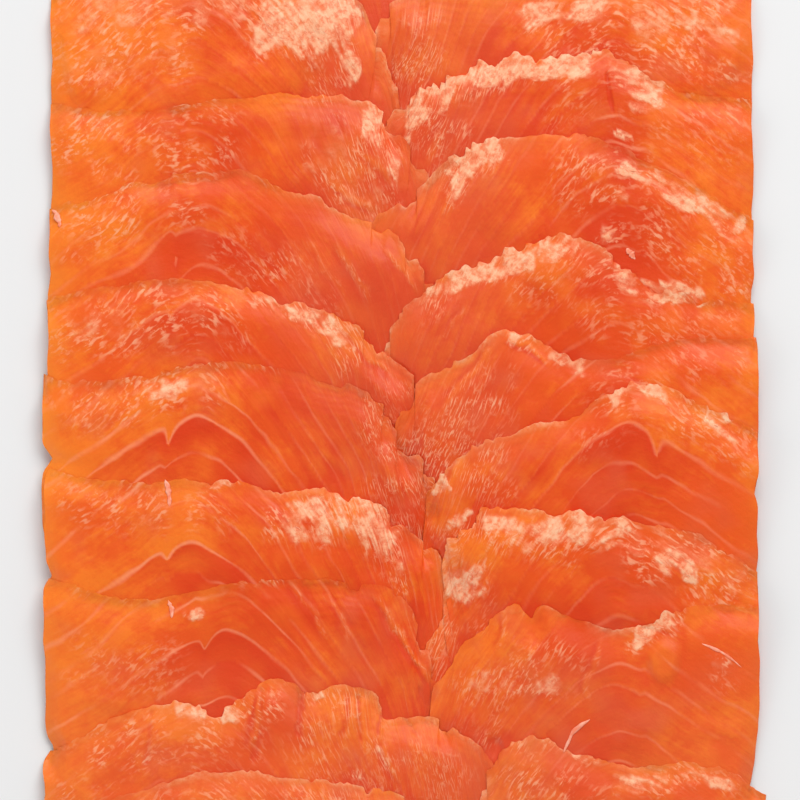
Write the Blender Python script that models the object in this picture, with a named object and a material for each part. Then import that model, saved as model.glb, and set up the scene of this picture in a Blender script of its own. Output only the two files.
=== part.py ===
"""Sliced smoked salmon: thin slices laid in two columns that overlap like roof tiles and meet in the middle.

The slices are cut on the slant from a side, so each is a wide, arched band with feathered edges. They are
laid from the far end (+Y) to the near end (-Y), left and right in turn, each one over the heel of those
before it. What shows of a slice is the strip behind its far edge, its crest, down to the next crest.
Each slice is draped over the pile that is there when it is laid.

Lengths are in millimetres until a mesh is made.
"""

from collections import namedtuple
from math import ceil, pi, sin

import bmesh
import bpy
import numpy as np
from mathutils import Vector, noise

MM = 0.001

# One slice
THICKNESS = 2.6
TIP_THICKNESS = 1.0
EDGE_THICKNESS = 0.6
CREST_FEATHER = 9.0
HEEL_FEATHER = 13.0
OUTER_FEATHER = 6.0
TIP_FEATHER = 6.0
TIP_THINNING = 34.0
SWELLING = 0.35
SWELLING_SIZE = 24.0

# The heel is a shallow arch, narrower than the slice, and turns up into both ends in a curve
HEEL_STARTS = 0.05
HEEL_ENDS = 0.80
HEEL_SAG = 5.0
WANDER = 2.0
WANDER_SIZE = 22.0
OUTER_ROUNDING = 6.0
TIP_ROUNDING = 10.0

# The outer edge bulges behind the crest, over this share of the length, and the tip is round. Both shapes
# fade out along the crest.
BULGE_ENDS = 0.5
TIP_BULGE = 8.0
END_REACH = 7.0

# How finely a slice is faceted: shares of its length back from the crest, and the longest step along it
ROW_SHARES = (0.0, 0.03, 0.10, 0.22, 0.40, 0.66, 1.0)
LONGEST_STEP = 10.0

# Each slice has its own noise, and its heel and its swelling have noise of their own
WANDER_SEED = 40
SWELLING_SEED = 80
SEED_SPACING = 17.3

# The drape
GAP = 0.35
CELL = 1.0
GROUND_LOW = (-130.0, -240.0)
GROUND_HIGH = (130.0, 190.0)
LOOK_AROUND = 3
LIFT_STEPS = 60
CLEAR_ENOUGH = 0.01
CORNER_SLACK = 1e-6
STIFFENING_STEPS = 3
OUTER_DROOP = 0.8

# A slice's length is from its crest to its heel, and the bulge is that of its outer edge. A smooth curve
# through a few points gives its crest, from the outer edge of the pack to the tip, past the middle.
Slice = namedtuple("Slice", "side length bulge crest")

LAYING_ORDER = (
    Slice("right", 66, 0.3, (
        (98.5, 141), (59, 146.5), (22.5, 141), (1.5, 125), (-2, 116),
    )),
    Slice("left", 68, 0.6, (
        (-97.5, 139.5), (-54.5, 145.5), (-22.5, 140.5), (-1, 120), (3, 110),
    )),
    Slice("right", 70, 0.3, (
        (98.5, 115), (73, 116), (33.5, 114), (11, 114), (-3.5, 110), (-8.5, 95),
    )),
    Slice("left", 72, 0.5, (
        (-97.5, 113.5), (-59, 118), (-22.5, 117), (-9.5, 109), (-2.5, 92), (0.5, 82),
    )),
    Slice("right", 73, 0.2, (
        (98.5, 83), (81, 85.5), (67, 92.5), (57.5, 98.5), (50.5, 96.5), (28, 96), (5.5, 87.5), (-3, 78),
        (-5.5, 71.5),
    )),
    Slice("left", 74, 0.6, (
        (-97.5, 83.5), (-75.5, 81), (-45, 85), (-14, 84.5), (-1.5, 77.5), (9, 60.5), (10.5, 52.5),
    )),
    Slice("right", 74, 0.3, (
        (98.5, 49.5), (81, 60.5), (53, 73.5), (15.5, 69.5), (5, 58), (-10, 48), (-12.5, 40.5),
    )),
    Slice("left", 75, 0.6, (
        (-98, 54), (-75.5, 59.5), (-56, 64), (-43.5, 63), (-32, 58), (-21, 55.5), (0, 44.5), (9, 33),
        (11.5, 24.5),
    )),
    Slice("right", 74, 0.4, (
        (99, 26), (67, 32.5), (56, 42), (42, 45), (17.5, 37), (1, 26), (-3.5, 18.5), (-5, 10.5),
    )),
    Slice("left", 74, 1.2, (
        (-98.5, 29), (-61.5, 33.5), (-22, 25), (5.5, 5.5), (8.5, -1),
    )),
    Slice("right", 73, 0.7, (
        (100, 17), (78.5, 17.5), (56, 11), (42, 15), (29.5, 20.5), (19.5, 13.5), (4, 3.5), (-1.5, -5.5),
    )),
    Slice("left", 74, 1.4, (
        (-100, 6.5), (-89.5, 4.5), (-42, 10.5), (-6, 0.5), (0.5, -10), (8.5, -20), (11, -27),
    )),
    Slice("right", 74, 1.0, (
        (100, -8.5), (84, -0.5), (67, 5), (45, -6), (22.5, -11), (9, -23), (7, -29.5),
    )),
    Slice("left", 75, 3.0, (
        (-99, -18.5), (-75.5, -23.5), (-54.5, -22), (-31, -25.5), (-10, -26.5), (3.5, -36.5), (12, -45.5),
        (13.5, -54),
    )),
    Slice("right", 74, 0.3, (
        (100, -48.5), (82.5, -38), (39, -31), (22, -30), (13, -39), (12, -53), (10.5, -62), (7, -70),
    )),
    Slice("left", 74, 2.6, (
        (-99.5, -49.5), (-78.5, -56), (-33.5, -50), (-4, -53), (8, -68.5), (12.5, -85.5),
    )),
    Slice("right", 75, 1.8, (
        (100, -57), (81, -57.5), (59.5, -64), (39, -57), (36.5, -61), (33, -57), (17, -68.5), (9.5, -82),
    )),
    Slice("left", 73, 1.6, (
        (-99.5, -98.5), (-75.5, -87.5), (-56.5, -84.5), (-52.5, -87.5), (-38, -78.5), (-31, -79.5),
        (-27.5, -83), (-17, -80), (-7, -81), (-3.5, -87), (11, -89.5), (22, -96), (27, -106),
    )),
    Slice("right", 72, 0.5, (
        (102.5, -110), (91, -103), (61.5, -101.5), (40.5, -95), (29.5, -97), (24.5, -107), (21.5, -115.5),
    )),
    Slice("left", 70, 1.5, (
        (-99.5, -116), (-52, -104.5), (-28, -105.5), (8.5, -113.5), (22, -124.5), (24, -133),
    )),
    Slice("right", 62, 0.8, (
        (103, -129.5), (67, -122.5), (39, -124), (28, -130.5), (24.5, -137),
    )),
)

# Flesh, as linear colour. Neighbouring slices differ a little, between the two colours.
FLESH = (0.83, 0.128, 0.028)
FLESH_PALER = (0.87, 0.175, 0.045)
TONES = 3
ROUGHNESS = 0.36
LIGHT_SCATTERED = 0.4
SCATTER_RADII = (0.004, 0.0015, 0.0008)
SHARP_ANGLE = 1.0


def ripple(x, y, size, seed):
    """Smooth noise from about -1 to 1, with bumps of the given size."""
    return noise.noise(Vector((x / size, y / size, SEED_SPACING * seed)))


def feathered(distance, width):
    """0 on an edge, rising in a rounded curve to 1 once the distance from it is the width."""
    left = 1.0 - min(1.0, max(0.0, distance / width))
    return 1.0 - left * left


def spline_through(points, longest):
    """A smooth line through the points, with more put in where two are far apart."""
    points = np.array(points)
    steps = np.diff(points, axis=0)
    lengths = np.linalg.norm(steps, axis=1)
    slopes = np.empty_like(points)
    slopes[0], slopes[-1] = steps[0] / lengths[0], steps[-1] / lengths[-1]
    slopes[1:-1] = (points[2:] - points[:-2]) / (lengths[1:] + lengths[:-1])[:, None]
    line = []
    for i, length in enumerate(lengths):
        count = ceil(length / longest)
        for s in np.arange(count) / count:
            line.append(
                (1 + 2 * s) * (1 - s) ** 2 * points[i]
                + s * (1 - s) ** 2 * length * slopes[i]
                + s * s * (3 - 2 * s) * points[i + 1]
                + s * s * (s - 1) * length * slopes[i + 1]
            )
    return np.array(line + [points[-1]])


def distance_to_line(place, line):
    """How far a place is from the nearest point of a line of straight pieces."""
    starts, steps = line[:-1], np.diff(line, axis=0)
    along = ((place - starts) * steps).sum(axis=1) / (steps**2).sum(axis=1)
    nearest = starts + np.clip(along, 0.0, 1.0)[:, None] * steps
    return np.linalg.norm(place - nearest, axis=1).min()


def plan_of(piece, seed):
    """Where each vertex of the slice is seen from above, row by row back from the crest."""
    outward = -1.0 if piece.side == "left" else 1.0
    crest = spline_through(piece.crest, LONGEST_STEP)
    walked = np.concatenate([[0.0], np.linalg.norm(np.diff(crest, axis=0), axis=1).cumsum()])
    walked /= walked[-1]
    outer, tip = crest[0][0], (crest[:, 0] * -outward).max() * -outward
    heel_y = crest[:, 1].max() - piece.length
    rows = []
    for back in ROW_SHARES:
        row = []
        for (x, y), share in zip(crest, walked):
            heel_x = outer + (tip - outer) * (HEEL_STARTS + (HEEL_ENDS - HEEL_STARTS) * share)
            sag = HEEL_SAG * (2.0 * share - 1.0) ** 2
            sag += WANDER * ripple(heel_x, 0.0, WANDER_SIZE, seed + WANDER_SEED)
            sag -= OUTER_ROUNDING * (1.0 - share) ** END_REACH + TIP_ROUNDING * share**END_REACH
            x += (heel_x - x) * back
            y += (heel_y - sag - y) * back
            bulge = piece.bulge * sin(pi * min(1.0, back / BULGE_ENDS))
            x += outward * bulge * (1.0 - share) ** END_REACH
            x -= outward * TIP_BULGE * sin(pi * back) * share**END_REACH
            row.append((x, y))
        rows.append(row)
    return np.array(rows)


def thicknesses_of(plan, seed):
    """How thick the slice is at each vertex: thin at every edge, and thinner towards its tip."""
    crest, heel, outer, tip = plan[0], plan[-1], plan[:, 0], plan[:, -1]
    found = []
    for place in plan.reshape(-1, 2):
        tip_distance = distance_to_line(place, tip)
        full = TIP_THICKNESS + (THICKNESS - TIP_THICKNESS) * feathered(tip_distance, TIP_THINNING)
        full += SWELLING * ripple(*place, SWELLING_SIZE, seed + SWELLING_SEED)
        edge = feathered(distance_to_line(place, crest), CREST_FEATHER)
        edge *= feathered(distance_to_line(place, heel), HEEL_FEATHER)
        edge *= feathered(distance_to_line(place, outer), OUTER_FEATHER)
        edge *= feathered(tip_distance, TIP_FEATHER)
        found.append(EDGE_THICKNESS + (full - EDGE_THICKNESS) * edge)
    return np.array(found)


def triangles_of_grid(rows, columns, turned):
    """Two triangles for each square of a grid whose vertices are numbered row by row."""
    found = []
    for r in range(rows - 1):
        for c in range(columns - 1):
            far, near = r * columns + c, (r + 1) * columns + c
            found.append((far, near, near + 1))
            found.append((far, near + 1, far + 1))
    return [t[::-1] for t in found] if turned else found


def rim_of_grid(rows, columns):
    """The grid's outermost vertices, in order round it."""
    far = list(range(columns))
    end = [r * columns + columns - 1 for r in range(1, rows)]
    near = [(rows - 1) * columns + c for c in range(columns - 2, -1, -1)]
    start = [r * columns for r in range(rows - 2, 0, -1)]
    return far + end + near + start


class Pile:
    """The height of what has been laid so far, over a fine grid."""

    def __init__(self):
        self.low = np.array(GROUND_LOW)
        cells = np.ceil((np.array(GROUND_HIGH) - self.low) / CELL).astype(int) + 1
        self.top = np.full(cells, -GAP)

    def under(self, places, triangles):
        """The grid cells below the triangles, with each cell's triangle and its weights for the corners."""
        cells, corners, weights = [], [], []
        for triangle in triangles:
            a, b, c = places[list(triangle)]
            first = np.floor((np.minimum(np.minimum(a, b), c) - self.low) / CELL).astype(int)
            last = np.ceil((np.maximum(np.maximum(a, b), c) - self.low) / CELL).astype(int)
            column, row = np.meshgrid(
                np.arange(first[0], last[0] + 1), np.arange(first[1], last[1] + 1), indexing="ij"
            )
            index = np.stack([column.ravel(), row.ravel()], axis=1)
            offset = index * CELL + self.low - a
            sides = np.stack([b - a, c - a], axis=1)
            second_third = offset @ np.linalg.inv(sides).T
            share = np.column_stack([1.0 - second_third.sum(axis=1), second_third])
            inside = (share > -CORNER_SLACK).all(axis=1)
            cells.append(index[inside])
            weights.append(share[inside])
            corners.append(np.tile(triangle, (inside.sum(), 1)))
        return np.concatenate(cells), np.concatenate(corners), np.concatenate(weights)

    def highest_around(self):
        """The highest place of the pile within a few cells of each one, so that no edge hangs down."""
        highest = self.top
        for axis in (0, 1):
            steps = range(-LOOK_AROUND, LOOK_AROUND + 1)
            highest = np.maximum.reduce([np.roll(highest, step, axis) for step in steps])
        return highest

    def lowest_rest(self, places, triangles):
        """The lowest height of each vertex at which the faceted sheet clears the pile."""
        cells, corners, weights = self.under(places, triangles)
        needed = self.top[cells[:, 0], cells[:, 1]] + GAP
        nearest = np.rint((places - self.low) / CELL).astype(int)
        highest = self.highest_around()
        height = np.maximum(0.0, highest[nearest[:, 0], nearest[:, 1]] + GAP)
        for _ in range(LIFT_STEPS):
            short = needed - (height[corners] * weights).sum(axis=1)
            if short.max() < CLEAR_ENOUGH:
                break
            lift = np.clip(short, 0.0, None)[:, None] * weights
            lift /= (weights**2).sum(axis=1)[:, None]
            rise = np.zeros(len(height))
            np.maximum.at(rise, corners, lift)
            height += rise
        return height

    def add(self, places, triangles, heights):
        """Raises the pile to a new sheet's upper side, and one cell beyond its outline."""
        cells, corners, weights = self.under(places, triangles)
        sheet = np.full(self.top.shape, -GAP)
        level = (heights[corners] * weights).sum(axis=1)
        np.maximum.at(sheet, (cells[:, 0], cells[:, 1]), level)
        for axis in (0, 1):
            sheet = np.maximum.reduce([np.roll(sheet, step, axis) for step in (-1, 0, 1)])
        self.top = np.maximum(self.top, sheet)


def stiffened(heights, shape):
    """The sheet bridges dips in the pile rather than sinking into them, and its outer edge hardly droops."""
    sheet = heights.reshape(shape).copy()
    for _ in range(STIFFENING_STEPS):
        wide = np.pad(sheet, 1, mode="edge")
        around = (wide[:-2, 1:-1] + wide[2:, 1:-1] + wide[1:-1, :-2] + wide[1:-1, 2:]) / 4.0
        sheet = np.maximum(sheet, (sheet + around) / 2.0)
    sheet[:, 0] = np.maximum(sheet[:, 0], sheet[:, 1] - OUTER_DROOP)
    return sheet.ravel()


def flesh_material(name, share_paler):
    """Cold-smoked flesh: moist, so it shines softly, and light travels a little way into it."""
    colour = [a + (b - a) * share_paler for a, b in zip(FLESH, FLESH_PALER)]
    material = bpy.data.materials.new(name)
    material.use_nodes = True
    shader = material.node_tree.nodes["Principled BSDF"]
    shader.inputs["Base Color"].default_value = (*colour, 1.0)
    shader.inputs["Roughness"].default_value = ROUGHNESS
    shader.inputs["Subsurface Weight"].default_value = LIGHT_SCATTERED
    shader.inputs["Subsurface Radius"].default_value = SCATTER_RADII
    return material


def slice_object(name, plan, under, over, origin, parent, material):
    """One slice as a closed solid: its under and upper sides, and a thin rim that joins them."""
    rows, columns = plan.shape[:2]
    places = plan.reshape(-1, 2)
    shape = bmesh.new()
    lower = [shape.verts.new(Vector((x, y, z)) * MM - origin) for (x, y), z in zip(places, under)]
    upper = [shape.verts.new(Vector((x, y, z)) * MM - origin) for (x, y), z in zip(places, over)]
    mirrored = places[0][0] > places[columns - 1][0]
    for side, turned in ((upper, mirrored), (lower, not mirrored)):
        for triangle in triangles_of_grid(rows, columns, turned):
            shape.faces.new([side[i] for i in triangle])
    rim = rim_of_grid(rows, columns)
    for here, there in zip(rim, rim[1:] + rim[:1]):
        shape.faces.new((lower[here], lower[there], upper[there]))
        shape.faces.new((lower[here], upper[there], upper[here]))
    bmesh.ops.recalc_face_normals(shape, faces=shape.faces)
    mesh = bpy.data.meshes.new(name)
    shape.to_mesh(mesh)
    shape.free()
    mesh.materials.append(material)
    mesh.shade_smooth()
    mesh.set_sharp_from_angle(angle=SHARP_ANGLE)
    made = bpy.data.objects.new(name, mesh)
    bpy.context.scene.collection.objects.link(made)
    made.parent = parent
    made.location = origin
    return made


def centre_of(sheets):
    """The middle of the whole pack, seen from above."""
    places = np.concatenate([plan.reshape(-1, 2) for plan, _, _ in sheets])
    return (places.min(axis=0) + places.max(axis=0)) / 2.0


def lay_slices():
    """Drapes every slice in turn, and returns each one's plan and the heights of its two sides."""
    pile, sheets = Pile(), []
    for seed, piece in enumerate(LAYING_ORDER):
        plan = plan_of(piece, seed)
        places = plan.reshape(-1, 2)
        facets = triangles_of_grid(*plan.shape[:2], turned=False)
        under = stiffened(pile.lowest_rest(places, facets), plan.shape[:2])
        over = under + thicknesses_of(plan, seed)
        pile.add(places, facets, over)
        sheets.append((plan, under, over))
    return sheets


def build():
    for old in list(bpy.data.objects):
        bpy.data.objects.remove(old)
    pack = bpy.data.objects.new("smoked_salmon", None)
    bpy.context.scene.collection.objects.link(pack)
    sheets = lay_slices()
    middle = centre_of(sheets)
    laid = {"left": 0, "right": 0}
    for piece, (plan, under, over) in zip(LAYING_ORDER, sheets):
        laid[piece.side] += 1
        name = f"slice_{piece.side}_{laid[piece.side]:02d}"
        plan = plan - middle
        origin = Vector((plan[..., 0].mean(), plan[..., 1].max(), 0.0)) * MM
        material = flesh_material("flesh_" + name, laid[piece.side] % TONES / (TONES - 1))
        slice_object(name, plan, under, over, origin, pack, material)


build()
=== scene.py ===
import math

import bmesh
import bpy
import numpy as np
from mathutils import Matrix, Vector
from mathutils.bvhtree import BVHTree


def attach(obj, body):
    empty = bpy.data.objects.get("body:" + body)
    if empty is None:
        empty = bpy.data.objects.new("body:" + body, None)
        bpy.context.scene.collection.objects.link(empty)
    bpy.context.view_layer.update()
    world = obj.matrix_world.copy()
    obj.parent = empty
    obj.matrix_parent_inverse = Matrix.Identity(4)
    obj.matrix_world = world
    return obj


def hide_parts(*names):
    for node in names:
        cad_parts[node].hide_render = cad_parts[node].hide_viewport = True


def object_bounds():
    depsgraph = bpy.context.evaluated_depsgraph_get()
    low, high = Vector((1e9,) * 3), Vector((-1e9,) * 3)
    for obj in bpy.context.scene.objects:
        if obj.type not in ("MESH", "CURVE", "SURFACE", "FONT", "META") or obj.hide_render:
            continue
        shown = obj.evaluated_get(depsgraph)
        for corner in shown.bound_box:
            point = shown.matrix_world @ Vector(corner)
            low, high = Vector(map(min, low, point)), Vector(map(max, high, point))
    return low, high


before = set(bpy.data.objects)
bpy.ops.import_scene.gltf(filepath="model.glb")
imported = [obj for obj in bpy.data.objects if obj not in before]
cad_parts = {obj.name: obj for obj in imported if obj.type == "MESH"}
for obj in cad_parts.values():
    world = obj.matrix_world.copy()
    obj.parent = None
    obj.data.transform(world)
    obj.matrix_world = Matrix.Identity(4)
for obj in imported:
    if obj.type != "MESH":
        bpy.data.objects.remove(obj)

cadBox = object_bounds()
mm = 0.001
print("frame loaded:", len(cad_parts), "slices")


# What the eye sees of a pack of smoked salmon is the strip behind each slice's far edge, its crest.
# Lengths are in millimetres, in the frame's axes, until a mesh is made.
sliceCut = {
    "rowStep": 0.4,  # between rows of the mesh, from the crest back
    "columnStep": 0.42,  # between columns, along the crest
    "fineReach": 10.0,  # past this far behind the crest, the mesh has every second row
    "hiddenStep": 3.0,  # between rows that another slice covers, and on the underside
    "castStep": 2.5,  # between the heights that are read from the frame's solid
    "thickness": 2.4,
    "edgeThickness": 0.12,
    "crestFeather": 28.0,  # how far back from the crest the slice is tapered
    "outerHalf": (12.0, 62.0),  # from the pack's outer edge, where the flesh is paler
    "crestRise": 30.0,  # along which a crest goes from faint to clear
    "outerFeather": 5.0,
    "heelFeather": 12.0,
    "tipThinning": 30.0,
    "tipThickness": 1.1,
    "cling": 10.0,  # how far back from the crest the slice sags onto the one below
    "clearance": 0.06,
    "leastThickness": 0.05,
    "sag": 0.3,  # below the frame's solid
    "sharpAngle": 75.0,  # degrees, between the sides and the thin rim
    "defaultClearCrest": 66.0,
}


def blurred(field, passes):
    # each pass is a small triangle filter both ways, with the border repeated
    for _ in range(passes):
        wide = np.pad(field, 1, mode="edge")
        field = (wide[:-2, 1:-1] + 2.0 * wide[1:-1, 1:-1] + wide[2:, 1:-1]) / 4.0
        wide = np.pad(field, 1, mode="edge")
        field = (wide[1:-1, :-2] + 2.0 * wide[1:-1, 1:-1] + wide[1:-1, 2:]) / 4.0
    return field


def mottle(x, y, size, seed):
    # smooth random field from about -1 to 1, with spots of the given size
    cells = 256
    lattice = np.random.default_rng(seed).uniform(-1.0, 1.0, (cells, cells))
    u, v = x / size + cells / 2, y / size + cells / 2
    i, j = np.floor(u).astype(int), np.floor(v).astype(int)
    fu, fv = u - i, v - j
    fu, fv = fu * fu * (3.0 - 2.0 * fu), fv * fv * (3.0 - 2.0 * fv)
    i, j, ii, jj = i % cells, j % cells, (i + 1) % cells, (j + 1) % cells
    low = lattice[i, j] * (1.0 - fu) + lattice[ii, j] * fu
    high = lattice[i, jj] * (1.0 - fu) + lattice[ii, jj] * fu
    return low * (1.0 - fv) + high * fv


def smoothStep(value, low, high):
    share = np.clip((value - low) / (high - low), 0.0, 1.0)
    return share * share * (3.0 - 2.0 * share)


def feathered(distance, width, roundness=2.0):
    # 0 on an edge, rising to 1 once the distance from it is the width
    return 1.0 - (1.0 - np.clip(distance / width, 0.0, 1.0)) ** roundness


def splineThrough(points, count):
    # a smooth line through the points, read at even steps of its length
    points = np.array(points)
    steps = np.diff(points, axis=0)
    lengths = np.linalg.norm(steps, axis=1)
    slopes = np.empty_like(points)
    slopes[0], slopes[-1] = steps[0] / lengths[0], steps[-1] / lengths[-1]
    slopes[1:-1] = (points[2:] - points[:-2]) / (lengths[1:] + lengths[:-1])[:, None]
    perSpan = 12
    s = np.linspace(0.0, 1.0, perSpan, endpoint=False)[:, None]
    fine = [
        (1 + 2 * s) * (1 - s) ** 2 * points[i]
        + s * (1 - s) ** 2 * length * slopes[i]
        + s * s * (3 - 2 * s) * points[i + 1]
        + s * s * (s - 1) * length * slopes[i + 1]
        for i, length in enumerate(lengths)
    ]
    line = np.concatenate(fine + [points[-1:]])
    walked = np.concatenate([[0.0], np.linalg.norm(np.diff(line, axis=0), axis=1).cumsum()])
    places = np.linspace(0.0, walked[-1], count)
    return np.column_stack([np.interp(places, walked, line[:, k]) for k in (0, 1)])


def lengthOf(line):
    return np.linalg.norm(np.diff(line, axis=0), axis=1).sum()


def distanceToLine(x, y, line):
    # from each place to the nearest point of a line of straight pieces
    places = np.column_stack([x.ravel(), y.ravel()])
    nearest = np.full(len(places), np.inf)
    for start, end in zip(line[:-1], line[1:]):
        step = end - start
        along = np.clip((places - start) @ step / (step @ step), 0.0, 1.0)
        offset = places - start - along[:, None] * step
        nearest = np.minimum(nearest, (offset**2).sum(axis=1))
    return np.sqrt(nearest).reshape(x.shape)


def outlineOf(node):
    # the four sides of the solid's upper sheet, and a tree to read its heights from
    sameCorner, upwards = 1e-6, 0.01  # metres, and the least upward part of a top face's normal
    solid = bmesh.new()
    solid.from_mesh(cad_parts[node].data)
    bmesh.ops.remove_doubles(solid, verts=solid.verts, dist=sameCorner)
    tree = BVHTree.FromBMesh(solid)
    top = {face for face in solid.faces if face.normal.z > upwards}
    rimEdges = [edge for edge in solid.edges if sum(face in top for face in edge.link_faces) == 1]
    beside = {}
    for edge in rimEdges:
        for here, there in (edge.verts, reversed(edge.verts)):
            beside.setdefault(here, []).append(there)
    first = rimEdges[0].verts[0]
    ring, before = [first], None
    while True:
        after = [vert for vert in beside[ring[-1]] if vert is not before]
        before = ring[-1]
        if after[0] is first and len(ring) > 2:
            break
        ring.append(after[0])
    corners = [i for i, vert in enumerate(ring) if sum(face in top for face in vert.link_faces) <= 2]
    ring = np.array([vert.co[:2] for vert in ring]) / mm
    solid.free()
    sides = []
    for start, end in zip(corners, corners[1:] + [corners[0] + len(ring)]):
        sides.append(ring[np.arange(start, end + 1) % len(ring)])
    long = sorted(range(4), key=lambda k: lengthOf(sides[k]))[2:]
    crestIndex = max(long, key=lambda k: sides[k][:, 1].mean())
    crest, after, heel, prior = (sides[(crestIndex + k) % 4] for k in range(4))
    heel, prior = heel[::-1], prior[::-1]
    onLeft = "left" in node
    if (crest[0][0] > crest[-1][0]) == onLeft:
        return crest[::-1], heel[::-1], after, prior, tree
    return crest, heel, prior, after, tree


def patchOf(crest, heel, outer, tip):
    # a fine grid of places between the four sides: rows run back from the crest, columns along it
    columns = int(lengthOf(crest) / sliceCut["columnStep"])
    rows = int((lengthOf(outer) + lengthOf(tip)) / 2 / sliceCut["rowStep"])
    crest, heel = splineThrough(crest, columns), splineThrough(heel, columns)
    outer, tip = splineThrough(outer, rows), splineThrough(tip, rows)
    s = np.linspace(0.0, 1.0, columns)[None, :, None]
    t = np.linspace(0.0, 1.0, rows)[:, None, None]
    ends = (1 - s) * outer[:, None] + s * tip[:, None]
    faces = (1 - t) * crest[None] + t * heel[None]
    corners = (1 - s) * (1 - t) * crest[0] + s * (1 - t) * crest[-1]
    corners = corners + (1 - s) * t * heel[0] + s * t * heel[-1]
    plan = faces + ends - corners
    return plan[..., 0], plan[..., 1]


# The pack's outer sides run straight but for a few notches: the side, how far along the pack, and how deep.
outerSides = {
    "notches": (
        ("left", 3.0, 2.8), ("left", -29.5, 2.2), ("left", -78.5, 2.4),
        ("right", 36.5, 0.8), ("right", -6.0, 1.0),
    ),
    "notchWidth": 2.6,
    "wave": 0.5,
    "waveLength": 6.0,
    "straightFor": (38.0, 58.0),  # behind the crest, from where to where the straightness fades
}


def straightenOuterEnd(x, y, side):
    # the shown part of a slice's outer end keeps to the crest's corner, and fades to the solid's further back
    endY, inward = y[:, 0], 1.0 if side == "left" else -1.0
    target = x[0, 0] + outerSides["wave"] * mottle(endY, 0.0 * endY, outerSides["waveLength"], 61)
    for notchSide, middle, depth in outerSides["notches"]:
        if notchSide == side:
            target = target + inward * depth * np.exp(-(((endY - middle) / outerSides["notchWidth"]) ** 2))
    shift = (target - x[:, 0]) * (1.0 - smoothStep(endY[0] - endY, *outerSides["straightFor"]))
    share = np.linspace(1.0, 0.0, x.shape[1]) ** 2
    return x + shift[:, None] * share[None, :]


def undersideOf(x, y, tree):
    # the height of the solid's underside, read at wide steps and smoothed over the facets
    rows, columns = x.shape
    every, smoothing, below = int(sliceCut["castStep"] / sliceCut["rowStep"]), 8, -1.0
    rowPicks = np.unique(np.append(np.arange(0, rows, every), rows - 1))
    columnPicks = np.unique(np.append(np.arange(0, columns, every), columns - 1))
    heights = np.zeros((len(rowPicks), len(columnPicks)))
    upwards = Vector((0.0, 0.0, 1.0))
    for a, row in enumerate(rowPicks):
        for b, column in enumerate(columnPicks):
            place = Vector((x[row, column] * mm, y[row, column] * mm, below))
            hit = tree.ray_cast(place, upwards)[0]
            if hit is None:
                hit = tree.find_nearest(Vector((place.x, place.y, 0.0)))[0]
            heights[a, b] = hit.z / mm
    heights = blurred(heights, 1)
    wide = np.array([np.interp(np.arange(columns), columnPicks, line) for line in heights])
    fine = np.array([np.interp(np.arange(rows), rowPicks, line) for line in wide.T]).T
    return blurred(fine, smoothing)


pileGrid = {
    "cell": 0.5,
    "margin": 6.0,  # around the frame's box
    "shadePasses": 20,  # of blurring, for the shade that a crest casts
    "faintShade": 0.2,  # how much of it a faint crest casts
}


class Pile:
    # the heights of what has been laid so far, and which slice is uppermost
    def __init__(self):
        self.cell = pileGrid["cell"]
        self.low = np.array([cadBox[0][0], cadBox[0][1]]) / mm - pileGrid["margin"]
        high = np.array([cadBox[1][0], cadBox[1][1]]) / mm + pileGrid["margin"]
        shape = tuple(((high - self.low) / self.cell).astype(int))
        self.top = np.zeros(shape)
        self.slice = np.full(shape, -1)
        self.clearAt = np.zeros(shape)

    def read(self, field, x, y, every=1):
        # a field of the pile, or one thinned to every so many cells, at the given places
        cell = self.cell * every
        u, v = (x - self.low[0]) / cell, (y - self.low[1]) / cell
        i = np.clip(np.floor(u).astype(int), 0, field.shape[0] - 2)
        j = np.clip(np.floor(v).astype(int), 0, field.shape[1] - 2)
        u, v = u - i, v - j
        low = field[i, j] * (1 - u) + field[i + 1, j] * u
        high = field[i, j + 1] * (1 - u) + field[i + 1, j + 1] * u
        return low * (1 - v) + high * v

    def add(self, x, y, z, index, clearAt):
        u, v = (x - self.low[0]) / self.cell, (y - self.low[1]) / self.cell
        sheet = np.full(self.top.shape, -1.0)
        for du in (0, 1):
            for dv in (0, 1):
                i, j = np.floor(u).astype(int) + du, np.floor(v).astype(int) + dv
                np.maximum.at(sheet, (i.ravel(), j.ravel()), z.ravel())
        laid = sheet > 0.0
        self.top[laid] = np.maximum(self.top, sheet)[laid]
        self.slice[laid] = index
        self.clearAt[laid] = clearAt

    def shadeOver(self, index, onLeft):
        # where later slices cover this one with a clear crest, which leaves a shade beside them
        across = self.low[0] + self.cell * np.arange(self.top.shape[0])
        u = (across - cadBox[0][0] / mm) if onLeft else (cadBox[1][0] / mm - across)
        clear = smoothStep(u[:, None], self.clearAt - sliceCut["crestRise"], self.clearAt)
        faint = pileGrid["faintShade"]
        shade = (self.slice > index) * (faint + (1.0 - faint) * clear)
        return blurred(shade[::2, ::2], pileGrid["shadePasses"])


# The muscle bands of a side of salmon show in each slice as nested arches, with a notch on their outer leg.
bands = {
    "spacing": 9.5,  # between fat lines at the top of the arches
    "peak": 43.0,  # from the pack's outer edge to the top of the arches
    "notch": 36.0,
    "notchDepth": 6.0,
    "notchWidth": 1.5,
    "outerSlope": 0.72,
    "innerReach": 8.0,
    "innerSteepening": (0.4, 40.0),  # how much, at how far in from the peak
    "shoulder": (2.0, 7.0),  # the drop just outside the peak, and along what
    "lengthStep": 0.25,  # in which an arch is walked to measure along it
    "lineWidth": 0.55,
    "faintLines": 0.18,  # how clear the lines are in a slice that isn't named below
    "domeFade": 13.0,  # below the main line, the dark muscle under it
    "domeHalf": 22.0,
    "fibresPerBand": 4,
    "layerSpacing": 2.2,  # between the thin layers that show along the rim of a tip
}

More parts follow.
